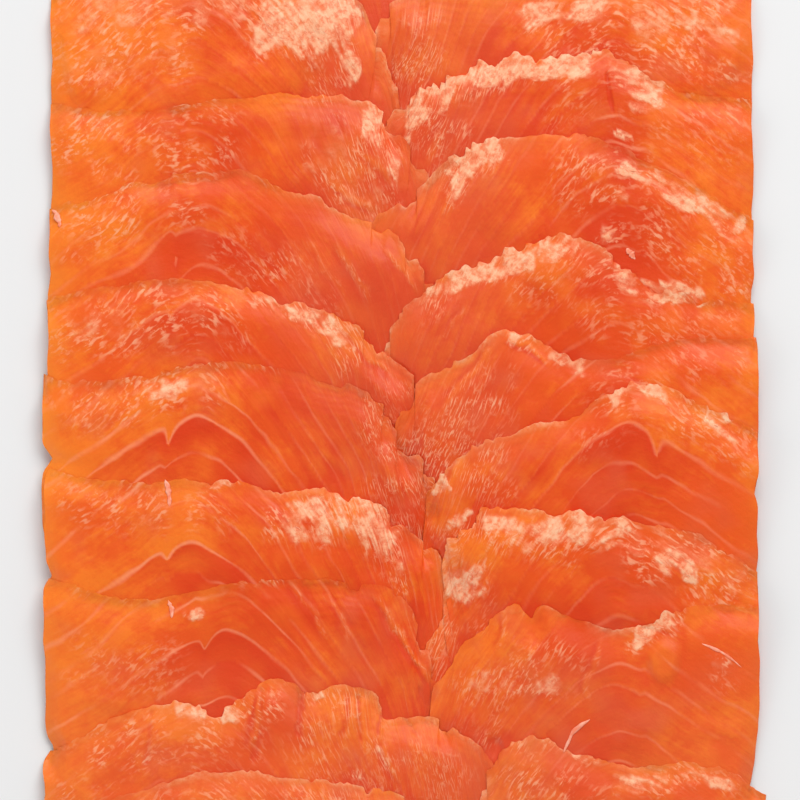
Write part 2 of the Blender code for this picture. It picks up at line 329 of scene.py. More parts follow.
# How far below its crest, at the arches' top, the main fat line of a slice lies, how far its arches have
# moved inwards, and how clear its lines are.
mainLine = {
    "left_04": 16.5, "left_05": 6.0, "left_06": 13.4, "left_07": 14.6, "left_08": 11.5, "right_07": 9.8,
}
archShift = {"left_04": 2.0, "left_08": 9.5, "right_07": -4.5}
clearLines = {
    "left_04": 0.25, "left_05": 0.25, "left_06": 0.55, "left_07": 0.55, "left_08": 0.55,
    "right_02": 0.45, "right_04": 0.35, "right_06": 0.4, "right_03": 0.5, "right_07": 0.3, "right_09": 0.35,
}


def archDrop(u):
    # how far a fat line has dropped below the top of its arch, this far in from the outer edge
    inward = np.maximum(u - bands["peak"], 0.0)
    steeper, steepAt = bands["innerSteepening"]
    drop = inward**2 / (inward + bands["innerReach"]) * (1.0 + steeper * (inward / steepAt) ** 2)
    outward = np.maximum(bands["notch"] - bands["notchWidth"] - u, 0.0)
    shoulder, along = bands["shoulder"]
    drop = drop + bands["outerSlope"] * outward + shoulder * smoothStep(bands["peak"] - u, 0.0, along)
    notch = np.exp(-np.abs(u - bands["notch"]) / bands["notchWidth"])
    return drop, notch


def archLength(u):
    # how far along its arch a place this far in from the outer edge lies
    fromOutside, toInside = -12.0, 130.0
    steps = np.arange(fromOutside, toInside, bands["lengthStep"])
    walked = np.hypot(np.diff(steps), np.diff(archDrop(steps)[0])).cumsum()
    return np.interp(u, steps[1:], walked)


def addBands(laid):
    # the arched lines of fat and how clear they are, the place within each band, and the grain of the muscle
    x, y, seed, name = laid["x"], laid["y"], laid["seed"], laid["name"]
    hasMain, clearness = name in mainLine, clearLines.get(name, bands["faintLines"])
    u = laid["u"] - archShift.get(name, 0.0)
    drop, notch = archDrop(u + 1.6 * mottle(x, y, 15.0, seed + 10))
    atPeak = np.abs(u[0] - bands["peak"]).argmin()
    top = y[0, atPeak] - mainLine.get(name, 5.0 + 6.0 * np.random.default_rng(seed).random())
    fall = (top - y) - drop + 1.2 * mottle(x, y, 11.0, seed + 11)
    fall = fall + 2.6 * mottle(fall, 0.0 * fall, 8.0, seed + 15) + 1.5 * mottle(x, y, 24.0, seed + 16)
    fall = fall + 0.4 * mottle(x, y, 3.2, seed + 19)
    phase = fall / bands["spacing"]
    # the notch is deepest in the main line, and differs from line to line
    deep = bands["notchDepth"] * (0.65 + 0.35 * np.cos(np.round(phase) * 2.4 + seed))
    deep = deep * (0.15 + 0.85 * np.exp(-(((phase - 0.4) / 0.9) ** 2)) * hasMain)
    phase = phase - notch * deep / bands["spacing"]
    line = np.round(phase)
    main = np.exp(-4.0 * line**2) * hasMain
    slope = np.hypot(*np.gradient(phase)) / sliceCut["rowStep"]
    width = bands["lineWidth"] * (1.0 + 0.45 * mottle(x, y, 6.0, seed + 12)) * (1.0 + 0.12 * main)
    width = width * (1.0 + 0.5 * smoothStep(bands["peak"] - u, 2.0, 20.0))  # wider on the outer leg
    laid["lineWidth"] = np.maximum(blurred(slope, 3), 0.02) * width
    apart = 40.0 * line  # so that each line is clear in other places
    strength = 0.4 + 0.8 * mottle(x, y + apart, 12.0, seed + 13) + 0.3 * mottle(x, y, 3.0, seed + 14)
    strength = np.clip(strength, 0.0, 1.0) * clearness * (0.6 + 0.4 * smoothStep(u, 12.0, 28.0))
    main = main * smoothStep(u, 6.0, 28.0) * (0.75 + 0.5 * mottle(x, y, 7.0, seed + 18))
    strength = np.maximum(strength, clearness * main)
    laid["fat"] = strength * (1.0 - 0.65 * smoothStep(u, 52.0, 70.0))
    below = phase * bands["spacing"]
    dome = smoothStep(below, -0.3, 1.2) * np.exp(-np.maximum(below, 0.0) / bands["domeFade"])
    laid["dome"] = dome * np.exp(-(((u - bands["peak"]) / bands["domeHalf"]) ** 2)) * hasMain
    laid["dome"] *= 0.5 + clearness
    laid["band"] = phase - np.floor(phase)
    laid["phase"] = phase
    laid["lean"] = np.arctan(np.gradient(drop, axis=1) / np.maximum(np.abs(np.gradient(u, axis=1)), 1e-3))
    laid["acrossGrain"] = 1.6 * mottle(x, y, 14.0, 17) + 0.5 * mottle(x, y, 5.0, 18) - y - drop
    laid["alongGrain"] = archLength(u + 1.0 * mottle(x, y, 15.0, 19))


def grainNoise(laid, wide, long, seed):
    # spots drawn out along the muscle fibres
    return mottle(laid["acrossGrain"] / wide, laid["alongGrain"] / long, 1.0, laid["seed"] + seed)


# Where the knife tore the flesh, its fibres stand up. Their pale colour is partly their own and partly a
# painted highlight for the light they catch. For each slice: from where to where across the pack (x), from
# where to where behind the crest, and how badly it is torn.
tornPlaces = {
    "left_02": (
        (-98, -60, 14, 28, 0.58), (-98, -78, 4, 12, 0.6), (-20, 0, 14, 30, 0.4), (-44, -22, 0, 21, 1.3),
        (-25, -13, 0, 13, 1.2), (-98, -40, 0, 15, 0.65),
    ),
    "left_03": (
        (-98, -45, 2, 18, 0.5), (-30, -4, 6, 26, 0.6), (-31, -17, 0, 4, 0.5), (-13, -1, 0, 11, 0.8),
        (-86, -72, 2, 5, 0.6), (-72, -52, 8, 14, 0.4),
    ),
    "left_04": ((-98, -55, 0, 14, 0.5), (-55, -20, 14, 26, 0.35)),
    "left_05": (
        (-20, 4, 2, 14, 0.4), (-98, -45, 2, 18, 0.57), (-45, -28, 0, 4, 1.0), (-32, -12, 1, 7, 0.95),
    ),
    "left_06": ((-12, 12, 0, 18, 0.5), (-98, -50, 0, 12, 0.55)),
    "left_07": (
        (-98, -50, 2, 14, 0.35), (-54, -45, 0, 3, 0.8), (-39, -20, 1, 13, 1.1), (-21, -1, 0, 12, 1.0),
        (-86, -66, 4, 10, 0.5),
    ),
    "left_08": ((-96, -60, 12, 26, 0.25),),
    "left_09": ((-30, 26, 6, 30, 0.3), (-98, -10, 1, 16, 0.45), (-65, -44, 0, 5, 0.8)),
    "left_10": ((-90, 10, 2, 20, 0.4),),
    "right_01": ((0, 98, 20, 45, 0.5),),
    "right_02": ((-6, 12, 6, 22, 0.5), (40, 98, 4, 26, 0.5), (30, 58, 2, 10, 0.9), (62, 96, 0, 17, 0.7)),
    "right_03": (
        (-8, 20, 6, 20, 0.5), (40, 98, 3, 22, 0.27), (-1, 34, 0, 8, 1.3), (33, 55, 0, 8, 1.5),
        (58, 72, 0, 8, 0.75),
    ),
    "right_04": ((42, 98, 3, 22, 0.45), (11, 29, 0, 8, 1.6), (44, 52, 0, 3, 0.7), (58, 89, 1, 7, 0.8)),
    "right_05": ((30, 98, 3, 18, 0.32), (5, 37, 0, 7, 0.9), (36, 49, 0, 7, 1.0), (55, 64, 0, 5, 0.7)),
    "right_06": ((-2, 30, 6, 26, 0.5), (50, 96, 2, 14, 0.3), (27, 36, 0, 5, 0.7), (40, 50, 0, 5, 0.7)),
    "right_07": ((6, 30, 2, 18, 0.5), (50, 98, 0, 12, 0.35), (56, 74, 0, 5, 0.8), (83, 93, 0, 7, 1.0)),
    "right_08": (
        (0, 14, 3, 16, 0.5), (60, 98, 0, 16, 0.6), (8, 22, 0, 6, 0.65), (20, 45, 1, 13, 0.85),
        (80, 92, 2, 8, 0.5),
    ),
    "right_09": ((62, 76, 0, 6, 1.1), (84, 92, 14, 22, 0.6), (11, 50, 8, 20, 0.5)),
    "right_10": ((20, 60, 0, 14, 0.5), (45, 56, 0, 3, 0.8), (58, 94, 1, 7, 0.8)),
}

# Single patches of it: the slice, the middle, half the length and the breadth, how far the length is turned
# from across the pack in degrees, and how badly it is torn.
tornPatches = (
    ("right_08", (17.4, -32.0), (6.5, 4.5), 40.0, 1.15),
    ("right_08", (52.0, -17.0), (13.0, 4.6), 0.0, 1.15),
    ("right_08", (76.5, -27.5), (7.0, 3.8), -25.0, 1.15),
    ("right_03", (66.0, 101.0), (5.0, 1.8), -15.0, 0.7),
    ("left_06", (-68.5, 22.3), (10.0, 2.8), 4.0, 1.1),
    ("left_08", (-57.5, -41.2), (3.2, 1.8), 0.0, 1.4),
    ("left_02", (-84.0, 112.0), (10.0, 5.0), 20.0, 0.6),
    ("right_06", (44.0, 38.5), (5.5, 3.0), -30.0, 1.0),
    ("right_05", (74.5, 48.6), (9.5, 2.4), -6.0, 1.1),
    ("right_04", (74.5, 50.0), (9.0, 2.4), -6.0, 1.1),
    ("right_03", (62.6, 92.0), (3.6, 1.2), -15.0, 1.1),
    ("right_04", (62.2, 83.3), (4.6, 1.7), -14.0, 1.15),
    ("right_04", (61.6, 75.0), (3.2, 1.5), -5.0, 1.15),
    ("right_04", (82.0, 73.4), (9.0, 2.2), -12.0, 0.95),
    ("right_04", (93.0, 67.5), (3.4, 2.0), 10.0, 1.05),
    ("right_04", (57.5, 64.6), (4.0, 1.6), 15.0, 0.9),
    ("right_05", (59.5, 55.2), (3.4, 1.4), -20.0, 0.95),
    ("right_09", (30.2, -59.2), (16.0, 4.5), 0.0, 0.68),
    ("left_09", (-5.8, -80.5), (4.0, 1.6), -55.0, 1.1),
    ("left_09", (-14.5, -84.5), (3.0, 1.2), -20.0, 1.0),
    ("left_09", (-23.0, -64.5), (2.2, 1.2), 0.0, 0.9),
    ("left_06", (-88.0, 15.0), (6.0, 3.0), 20.0, 0.62),
    ("left_05", (-88.0, 40.0), (7.0, 4.0), 35.0, 0.62),
    ("right_07", (62.0, 28.5), (9.0, 2.6), -32.0, 0.9),
    ("right_07", (10.0, -4.5), (3.8, 1.3), 75.0, 1.0),
    ("right_07", (15.0, -14.2), (5.0, 1.7), 32.0, 1.05),
)


def tornness(laid):
    # soft-edged stretches of torn flesh, and a little of it all along the crest
    x, y, back, seed = laid["x"], laid["y"], laid["back"], laid["seed"]
    leastSoft, mostSoft = 1.0, 4.0
    wander = 2.2 * mottle(x, y, 7.0, seed + 40) + 1.2 * mottle(x, y, 2.6, seed + 41)
    torn = 0.5 * np.exp(-back / 1.5) * np.clip(0.3 + mottle(x, y, 6.0, seed + 42), 0.0, 1.0)
    for left, right, near, far, amount in tornPlaces.get(laid["name"], ()):
        soft = np.clip((right - left) / 6.0, leastSoft, mostSoft)
        within = smoothStep(x + wander, left - soft, left + soft)
        within = within * (1.0 - smoothStep(x + wander, right - soft, right + soft))
        soft = np.clip((far - near) / 3.0, leastSoft, mostSoft)
        within = within * (1.0 - smoothStep(back + 0.8 * wander, far - soft, far + soft))
        if near > 0:
            within = within * smoothStep(back + 0.6 * wander, near - soft, near + soft)
        torn = np.maximum(torn, amount * within)
    for name, middle, half, turn, amount in tornPatches:
        if laid["name"] == name:
            cosine, sine = math.cos(math.radians(turn)), math.sin(math.radians(turn))
            dx, dy = x + 0.8 * wander - middle[0], y - 0.6 * wander - middle[1]
            away = np.hypot((dx * cosine + dy * sine) / half[0], (dy * cosine - dx * sine) / half[1])
            torn = np.maximum(torn, amount * (1.0 - smoothStep(away, 0.7, 1.4)))
    return torn


# Creases in the flesh, sunk into the relief and darkened with painted shade: the slice, both ends of the
# line, its width and its strength.
creases = (
    ("right_03", (56.6, 110.0), (57.0, 105.5), 0.8, 1.5),
    ("right_03", (57.0, 105.5), (58.2, 100.5), 0.7, 1.3),
    ("left_03", (-16.5, 74.0), (-8.5, 71.0), 1.0, 1.0),
    ("left_03", (-19.0, 82.0), (-12.0, 76.0), 1.0, 0.7),
    ("left_09", (-1.5, -66.0), (3.0, -74.0), 1.0, 0.8),
    ("right_09", (60.5, -42.0), (75.0, -46.5), 1.0, 0.9),
    ("left_08", (3.0, -36.5), (5.5, -42.0), 1.2, 1.0),
    ("left_09", (-39.8, -62.0), (-42.0, -80.5), 1.3, 1.5),
    ("left_09", (-29.0, -59.0), (-29.6, -74.0), 1.1, 1.2),
    ("left_09", (-70.4, -68.0), (-72.0, -82.0), 1.0, 1.0),
    ("left_09", (-13.0, -64.0), (-12.0, -76.0), 1.0, 1.2),
    ("left_07", (-22.0, -10.0), (-16.0, -20.5), 1.0, 0.9),
    ("left_08", (-9.0, -36.0), (6.0, -60.0), 0.9, 0.9),
    ("left_08", (-20.0, -35.5), (-11.0, -50.0), 0.8, 0.6),
)

# Edges where a layer of the flesh has come loose: the slice, both ends of the edge, and how high the layer
# stands. The layer lies to the left of the edge, seen from its first end.
layerEdges = (
    ("left_03", (-22.1, 80.8), (-6.7, 69.0), 0.3),
    ("left_03", (-14.6, 89.2), (-1.7, 79.4), 0.2),
    ("left_04", (-29.1, 65.4), (-16.5, 45.8), 0.15),
    ("left_04", (-20.7, 64.0), (-9.0, 44.4), 0.25),
    ("left_04", (-8.1, 62.6), (4.5, 47.2), 0.2),
    ("left_05", (-20.7, 41.6), (-1.1, 23.4), 0.25),
    ("left_06", (-7.3, 19.2), (5.9, -0.4), 0.2),
    ("left_08", (-33.3, -29.0), (-20.7, -50.8), 0.15),
    ("left_08", (-23.0, -34.0), (-14.6, -49.4), 0.15),
    ("left_08", (-10.1, -33.5), (7.8, -62.6), 0.35),
    ("left_09", (-39.8, -60.0), (-43.1, -80.0), 0.35),
    ("left_09", (-28.3, -59.0), (-28.3, -76.0), 0.25),
    ("left_09", (-15.1, -60.0), (-17.1, -78.0), 0.25),
    ("left_09", (-3.4, -65.0), (-7.3, -77.0), 0.4),
    ("left_09", (-8.0, -75.0), (-0.6, -89.0), 0.4),
    ("right_05", (18.5, 47.2), (7.3, 33.2), 0.15),
    ("right_06", (26.3, 38.2), (7.3, 13.6), 0.25),
    ("right_06", (26.9, 37.4), (42.0, 29.0), 0.3),
    ("right_07", (18.5, 8.0), (10.1, -8.8), 0.2),
    ("right_09", (28.3, -39.0), (25.5, -52.0), 0.25),
    ("right_09", (54.9, -46.0), (49.3, -66.0), 0.2),
)

# Swollen and sunken places: the slice, the middle, the radius and the height.
swells = (
    ("right_09", 72.2, -53.5, 5.5, 1.0),
    ("right_09", 25.5, -78.0, 3.2, -0.9),
    ("left_02", -28.0, 121.0, 11.0, 0.5),
    ("right_08", 53.0, -14.0, 9.0, 0.5),
    ("left_07", -16.0, -13.0, 9.0, 0.5),
    ("right_05", 40.0, 56.0, 7.0, 0.4),
    ("left_08", -50.0, -56.0, 16.0, -0.5),
)


# Places where the flesh is redder, or below 0 paler: the middle, the radius and how much. Some are painted
# shade instead, in crevices, notches, a wedge and a hole where the slices meet.
stainsAndCreviceShade = (
    (-24.0, 45.0, 6.0, 0.4),
    (-10.0, 43.0, 6.0, 0.45),
    (-12.0, 24.0, 9.0, 0.4),
    (-12.0, 61.0, 10.0, 0.3),
    # painted shade in crevices, notches, a wedge and a hole where the slices meet
    (3.1, -38.8, 3.5, 0.7),
    (3.0, -13.5, 4.0, 0.6),
    (-28.5, -64.5, 3.0, 0.5),
    (11.5, -30.7, 3.0, 0.6),
    (36.4, -41.0, 3.0, 0.6),
    (58.2, -43.8, 3.5, 0.5),
    (6.7, -62.6, 3.5, 0.6),
    (25.5, -78.3, 3.5, 0.8),
    # redder and paler flesh
    (-29.0, 5.0, 13.0, -0.4),
    (-88.0, -82.0, 14.0, -0.5),
    (-80.0, 36.0, 12.0, -0.3),
    (-76.0, 68.0, 12.0, -0.3),
    (20.0, -20.0, 14.0, -0.25),
    (62.0, 62.0, 14.0, 0.3),
    (61.0, 86.0, 9.0, 0.5),
    (-22.0, 100.0, 9.0, 0.35),
    (-3.0, 63.5, 6.0, 0.35),
    (-3.5, 27.0, 6.0, 0.35),
    (22.0, 49.0, 7.0, 0.35),
    (46.0, 27.0, 6.0, 0.35),
    (57.0, 50.0, 6.0, 0.3),
    (82.0, 39.5, 8.0, 0.3),
    (-70.0, 113.0, 8.0, 0.3),
    (-40.5, 88.0, 8.0, -0.35),
    (-52.0, 3.0, 9.0, -0.5),
    (9.0, -11.0, 7.0, -0.4),
    (21.0, 100.0, 7.0, -0.3),
    (-3.5, -60.0, 8.0, -0.3),
    (40.0, -18.0, 18.0, -0.25),
    (76.0, -20.0, 14.0, -0.25),
    (82.0, -80.0, 12.0, -0.25),
    (-37.5, 109.0, 12.0, -0.35),
    (-10.0, 82.0, 8.0, 0.3),
    (-8.0, 52.0, 7.0, 0.35),
    (1.5, 48.5, 5.0, 0.3),
    (0.5, 6.5, 5.0, 0.35),
    (-1.0, 76.0, 5.0, 0.3),
    (30.0, 8.0, 12.0, -0.3),
    (-76.0, 118.0, 22.0, -0.3),
)


def stainedAndCreviceShaded(x, y):
    # how much redder the flesh is at each place, with painted shade in the crevices and the hole
    found = np.zeros_like(x)
    for middleX, middleY, radius, amount in stainsAndCreviceShade:
        away = np.hypot(x - middleX, y - middleY) + 0.3 * radius * mottle(x, y, 0.5 * radius, 37)
        found += amount * (1.0 - smoothStep(away, 0.3 * radius, 1.25 * radius))
    return found


def nearLines(laid, lines):
    # how close to any of a slice's lines each place is: the line's strength on it, falling to 0 at its width
    found = np.zeros_like(laid["x"])
    for name, start, end, width, strength in lines:
        if laid["name"] == name:
            wander = 0.5 * mottle(laid["x"], laid["y"], 2.5, laid["seed"] + 50)
            away = distanceToLine(laid["x"], laid["y"], np.array([start, end])) + wander
            found = np.maximum(found, strength * np.clip(1.0 - away / width, 0.0, 1.0))
    return found


def looseLayers(laid):
    # how high loose layers stand, with painted light along their edges and painted shade in the clefts beside
    # them
    x, y, seed = laid["x"], laid["y"], laid["seed"]
    raised, laid["lip"], laid["cleft"] = np.zeros_like(x), np.zeros_like(x), np.zeros_like(x)
    for number, (name, start, end, height) in enumerate(layerEdges):
        if laid["name"] != name:
            continue
        step = np.subtract(end, start)
        length = np.hypot(*step)
        along = ((x - start[0]) * step[0] + (y - start[1]) * step[1]) / length
        aside = (step[0] * (y - start[1]) - step[1] * (x - start[0])) / length
        wide, fine = mottle(x, y, 5.0, seed + 51 + number), mottle(x, y, 1.8, seed + 81 + number)
        aside = aside + 1.2 * wide + 0.4 * fine
        within = smoothStep(along, 0.0, 0.3 * length) * (1.0 - smoothStep(along, 0.7 * length, length))
        raised += height * within * smoothStep(aside, -0.1, 0.5) * np.exp(-np.maximum(aside, 0.0) / 3.5)
        strength = within * min(height / 0.3, 1.0)
        laid["lip"] = np.maximum(laid["lip"], strength * np.exp(-(((aside - 0.7) / 0.8) ** 2)))
        laid["cleft"] = np.maximum(laid["cleft"], strength * np.exp(-(((aside + 0.7) / 0.9) ** 2)))
    return raised


reliefHeights = {
    "torn": (0.16, 0.16, 0.12),  # the rise, the roughness and the streaks of torn flesh
    "uneven": (0.26, 0.1),  # the wide and the narrow unevenness of all the flesh
    "band": 0.1,
    "fibres": 0.04,
    "layers": 0.05,
    "parting": 0.14,
    "crease": 0.2,
}
tornPaleness = {
    "wholly": (0.4, 1.2),  # how torn the flesh is where it starts to turn pale, and where it is wholly pale
    "least": (0.5, 0.8),
    # the rim is a painted highlight along a clear crest's edge, and the wisps are partly painted highlight
    "rim": 0.5,  # of the thin pale rim of a clear crest
    "wisps": 0.62,  # the most of the sparse wisps
}


def addRelief(laid):
    # torn places stand up rough, the muscle bands and fibres ripple the rest, and some fibres have parted
    x, y, seed, edge = laid["x"], laid["y"], laid["seed"], np.minimum(laid["back"], laid["toTip"])
    high = reliefHeights
    torn = np.minimum(laid["torn"], 1.0)
    rough = 0.5 * mottle(x, y, 2.8, seed + 20) + 0.5 * mottle(x, y, 1.5, seed + 21)
    streaks = grainNoise(laid, 1.3, 6.0, 25)
    rise, roughRise, streakRise = high["torn"]
    relief = torn * (rise + roughRise * rough + streakRise * streaks) * smoothStep(laid["back"], -0.2, 1.5)
    wide, narrow = high["uneven"]
    relief += wide * mottle(x, y, 9.0, seed + 22) + narrow * mottle(x, y, 4.0, seed + 23)
    relief += high["band"] * np.sin(np.pi * laid["band"]) ** 0.6
    inner = smoothStep(laid["u"], 50.0, 74.0)
    fibres = laid["phase"] * bands["fibresPerBand"] + 0.5 * mottle(x, y, 7.0, seed + 24)
    fibres = np.minimum(np.abs(np.sin(np.pi * fibres)) * 2.0, 1.0)
    broken = 0.6 + 0.4 * mottle(x, y, 8.0, seed + 26)
    relief += high["fibres"] * (0.25 + 0.75 * inner) * fibres * broken
    layers = np.sin(2.0 * np.pi * (edge / bands["layerSpacing"] + 0.5 * mottle(x, y, 8.0, seed + 27)))
    laid["layers"] = layers * inner * np.exp(-edge / 9.0) * (0.6 + 0.6 * mottle(x, y, 10.0, seed + 33))
    relief += high["layers"] * laid["layers"]
    parting = np.exp(-((grainNoise(laid, 3.6, 17.0, 34) / 0.26) ** 2))
    parting = parting * inner * smoothStep(mottle(x, y, 13.0, seed + 35), 0.05, 0.45)
    cracks = nearLines(laid, creases)
    laid["parting"] = np.maximum(blurred(parting, 2), cracks)
    relief += looseLayers(laid) - high["parting"] * laid["parting"] - high["crease"] * cracks
    laid["lump"] = np.zeros_like(x)
    for name, middleX, middleY, radius, height in swells:
        if laid["name"] == name:
            away = np.hypot(x - middleX, y - middleY) + 1.5 * mottle(x, y, 6.0, seed + 36)
            swollen = height * (1.0 - smoothStep(away, 0.45 * radius, 1.15 * radius))
            relief += swollen
            laid["lump"] += np.clip(0.3 * swollen, 0.0, 0.4)
    relief *= 1.0 - laid["faint"] * (1.0 - smoothStep(laid["back"], 0.0, 6.0))
    laid["upper"] = np.maximum(laid["surface"] + relief, laid["under"] + sliceCut["leastThickness"])
    # torn flesh's pale colour: partly its own, partly a painted highlight
    pale = tornPaleness
    clumps = 0.6 * mottle(x, y, 3.8, seed + 28) + 0.35 * rough + 0.4 * streaks
    clumps = clumps + 0.25 * mottle(x, y, 8.0, seed + 29)
    heavy = smoothStep(laid["torn"] + 1.1 * clumps * np.sqrt(laid["torn"]), *pale["wholly"])
    laid["pale"] = heavy * smoothStep(laid["torn"], *pale["least"])
    # a painted highlight along the edge of a clear crest
    rim = pale["rim"] * np.exp(-laid["back"] / 0.9) * np.clip(0.5 + mottle(x, y, 6.0, seed + 39), 0.0, 1.0)
    laid["pale"] = np.maximum(laid["pale"], rim * (1.0 - laid["faint"]))
    wisps = 1.2 * laid["torn"] * (0.6 + 0.9 * mottle(x, y, 4.5, seed + 38))
    laid["light"] = np.clip(wisps, 0.0, pale["wisps"])


crestEdge = {
    "calm": 0.55,  # how ragged a crest is where it isn't torn
    "tornMore": 1.9,
    "raggedReach": 2.5,  # how far back the raggedness is felt
    "wave": 0.9,
    "waveReach": 8.0,
    "nick": 2.2,  # where flesh has broken away near the middle of the pack
    "nickReach": 4.5,
    "nicksFrom": (66.0, 90.0),  # from the pack's outer edge
}


def raggedCrest(laid):
    # torn fibres make the crest uneven, most of all right at its edge
    x, y, seed, edge = laid["x"], laid["y"], laid["seed"], crestEdge
    along = np.arange(x.shape[1]) * sliceCut["columnStep"]
    zero = np.zeros_like(along)
    tear = 0.5 * mottle(along, zero, 5.0, seed) + 0.35 * mottle(along, zero, 2.0, seed + 1)
    tear += 0.25 * mottle(along, zero, 1.0, seed + 2)
    tear = tear * (edge["calm"] + edge["tornMore"] * laid["torn"][0])
    step = np.gradient(x[0]), np.gradient(y[0])
    length = np.hypot(*step)
    outX, outY = -step[1] / length, step[0] / length
    if (outY * length).sum() < 0.0:
        outX, outY = -outX, -outY
    wave = edge["wave"] * mottle(along, zero, 11.0, seed + 6)
    nicks = smoothStep(mottle(along, zero, 4.0, seed + 7), 0.15, 0.6)
    nicks = nicks * smoothStep(laid["u"][0], *edge["nicksFrom"])
    back = laid["back"]
    shift = tear * np.exp(-back / edge["raggedReach"]) + wave * np.exp(-back / edge["waveReach"])
    shift -= edge["nick"] * nicks * np.exp(-back / edge["nickReach"])
    laid["x"], laid["y"] = x + outX * shift, y + outY * shift


# how far from the pack's outer edge a slice's crest has become clear
clearCrest = {
    "left_02": 100.0, "left_03": 76.0, "left_04": 80.0, "left_06": 105.0, "left_07": 60.0, "left_08": 122.0,
    "left_09": 30.0, "left_10": 45.0, "right_03": 60.0, "right_05": 55.0, "right_06": 70.0, "right_07": 42.0,
    "right_08": 45.0, "right_09": 45.0, "right_10": 30.0, "right_11": 40.0,
}

slicesByLaying = []
for number in range(1, 12):
    for side in ("right", "left"):
        if f"slice_{side}_{number:02d}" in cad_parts:
            slicesByLaying.append(f"slice_{side}_{number:02d}")


def laySlice(node, index, pile):
    crest, heel, outer, tip, tree = outlineOf(node)
    cut, onLeft = sliceCut, "left" in node
    x, y = patchOf(crest, heel, outer, tip)
    x = straightenOuterEnd(x, y, "left" if onLeft else "right")
    hanging = undersideOf(x, y, tree)
    edgeX = cadBox[0][0] / mm if onLeft else cadBox[1][0] / mm
    laid = {"node": node, "name": node.removeprefix("slice_"), "index": index, "seed": 100 * index + 7}
    laid.update(x=x, y=y, u=np.abs(x - edgeX), onLeft=onLeft)
    laid["outward"] = 1.0 - smoothStep(laid["u"], *cut["outerHalf"])
    laid["clearAt"] = clearCrest.get(laid["name"], cut["defaultClearCrest"])
    laid["faint"] = 1.0 - smoothStep(laid["u"], laid["clearAt"] - cut["crestRise"], laid["clearAt"])
    first, final = (0, slice(None)), (-1, slice(None))
    sides = {"back": (first, 4), "toHeel": (final, 8), "toOuter": (first[::-1], 8), "toTip": (final[::-1], 8)}
    for side, (line, every) in sides.items():
        laid[side] = distanceToLine(x, y, np.column_stack([x[line], y[line]])[::every])
    laid["torn"] = tornness(laid)
    raggedCrest(laid)
    addBands(laid)
    x, y, back, toTip, seed, faint = (laid[key] for key in ("x", "y", "back", "toTip", "seed", "faint"))
    thin = cut["tipThickness"]
    full = thin + (cut["thickness"] - thin) * feathered(toTip, cut["tipThinning"])
    full = full * (1.0 + 0.16 * mottle(x, y, 13.0, seed + 3) + 0.07 * mottle(x, y, 5.0, seed + 4))
    reach = cut["crestFeather"] * (1.0 + 0.4 * mottle(x, y, 16.0, seed + 5) + 0.5 * faint)
    taper = feathered(back, reach, 1.5 - 0.35 * faint)
    taper = taper * feathered(laid["toOuter"], cut["outerFeather"])
    taper = taper * feathered(laid["toHeel"], cut["heelFeather"])
    taper = taper * feathered(toTip, 0.6 * cut["crestFeather"], 1.5)
    edge = cut["edgeThickness"] * (1.0 - 0.75 * faint)
    thickness = edge + (full - edge) * taper
    bed = pile.read(pile.top, x, y) + cut["clearance"]
    hang = smoothStep(np.minimum(back, toTip), 1.0, cut["cling"])
    under = bed + np.maximum(hanging - cut["sag"] - bed, 0.0) * hang
    laid["under"] = np.maximum(blurred(under, 6), bed)
    laid["surface"] = laid["under"] + thickness
    addRelief(laid)
    pile.add(x, y, laid["upper"], index, laid["clearAt"])
    return laid


def sheetMesh(laid, shownRows, attributes):
    # closed: a fine upper side, a plainer underside, and a thin rim between them
    x, y, columns = laid["x"], laid["y"], laid["x"].shape[1]
    last = len(x) - 1
    fine = int(sliceCut["fineReach"] / sliceCut["rowStep"])
    gap = int(sliceCut["hiddenStep"] / sliceCut["rowStep"])
    picks = [*range(fine), *range(fine, shownRows, 2), *range(shownRows, last, gap), last]
    picks = np.unique(picks)
    lowRows = [0]
    for i, row in enumerate(picks):
        if row - picks[lowRows[-1]] >= gap and row != last:
            lowRows.append(i)
    lowRows.append(len(picks) - 1)
    lowPicks = picks[lowRows]
    upper = np.stack([x[picks], y[picks], laid["upper"][picks]], axis=-1).reshape(-1, 3)
    lower = np.stack([x[lowPicks], y[lowPicks], laid["under"][lowPicks]], axis=-1).reshape(-1, 3)
    base = len(upper)

    def top(row, column):
        return row * columns + column

    def low(row, column):
        return base + row * columns + column

    def squares(corner, rows, flip):
        r, c = np.meshgrid(np.arange(rows - 1), np.arange(columns - 1), indexing="ij")
        ring = [corner(r, c), corner(r + 1, c), corner(r + 1, c + 1), corner(r, c + 1)]
        return np.stack(ring[::-1] if flip else ring, axis=-1).reshape(-1, 4).tolist()

    faces = squares(top, len(picks), False) + squares(low, len(lowRows), True)
    farRow, lowFarRow, edge = len(picks) - 1, len(lowRows) - 1, columns - 1
    for c in range(edge):
        faces.append([top(0, c), top(0, c + 1), low(0, c + 1), low(0, c)])
        faces.append([top(farRow, c + 1), top(farRow, c), low(lowFarRow, c), low(lowFarRow, c + 1)])
    for a, (start, end) in enumerate(zip(lowRows[:-1], lowRows[1:])):
        between = range(start, end + 1)
        faces.append([top(r, 0) for r in reversed(between)] + [low(a, 0), low(a + 1, 0)])
        faces.append([top(r, edge) for r in between] + [low(a + 1, edge), low(a, edge)])
    if x[0, 0] > x[0, -1]:
        faces = [face[::-1] for face in faces]
    mesh = bpy.data.meshes.new(laid["node"])
    mesh.from_pydata((np.concatenate([upper, lower]) * mm).tolist(), [], faces)
    for name, field in attributes.items():
        values = np.concatenate([field[picks].ravel(), field[lowPicks].ravel()])
        mesh.attributes.new(name, "FLOAT", "POINT").data.foreach_set("value", values.astype(np.float32))
    mesh.shade_smooth()
    mesh.set_sharp_from_angle(angle=math.radians(sliceCut["sharpAngle"]))
    return mesh


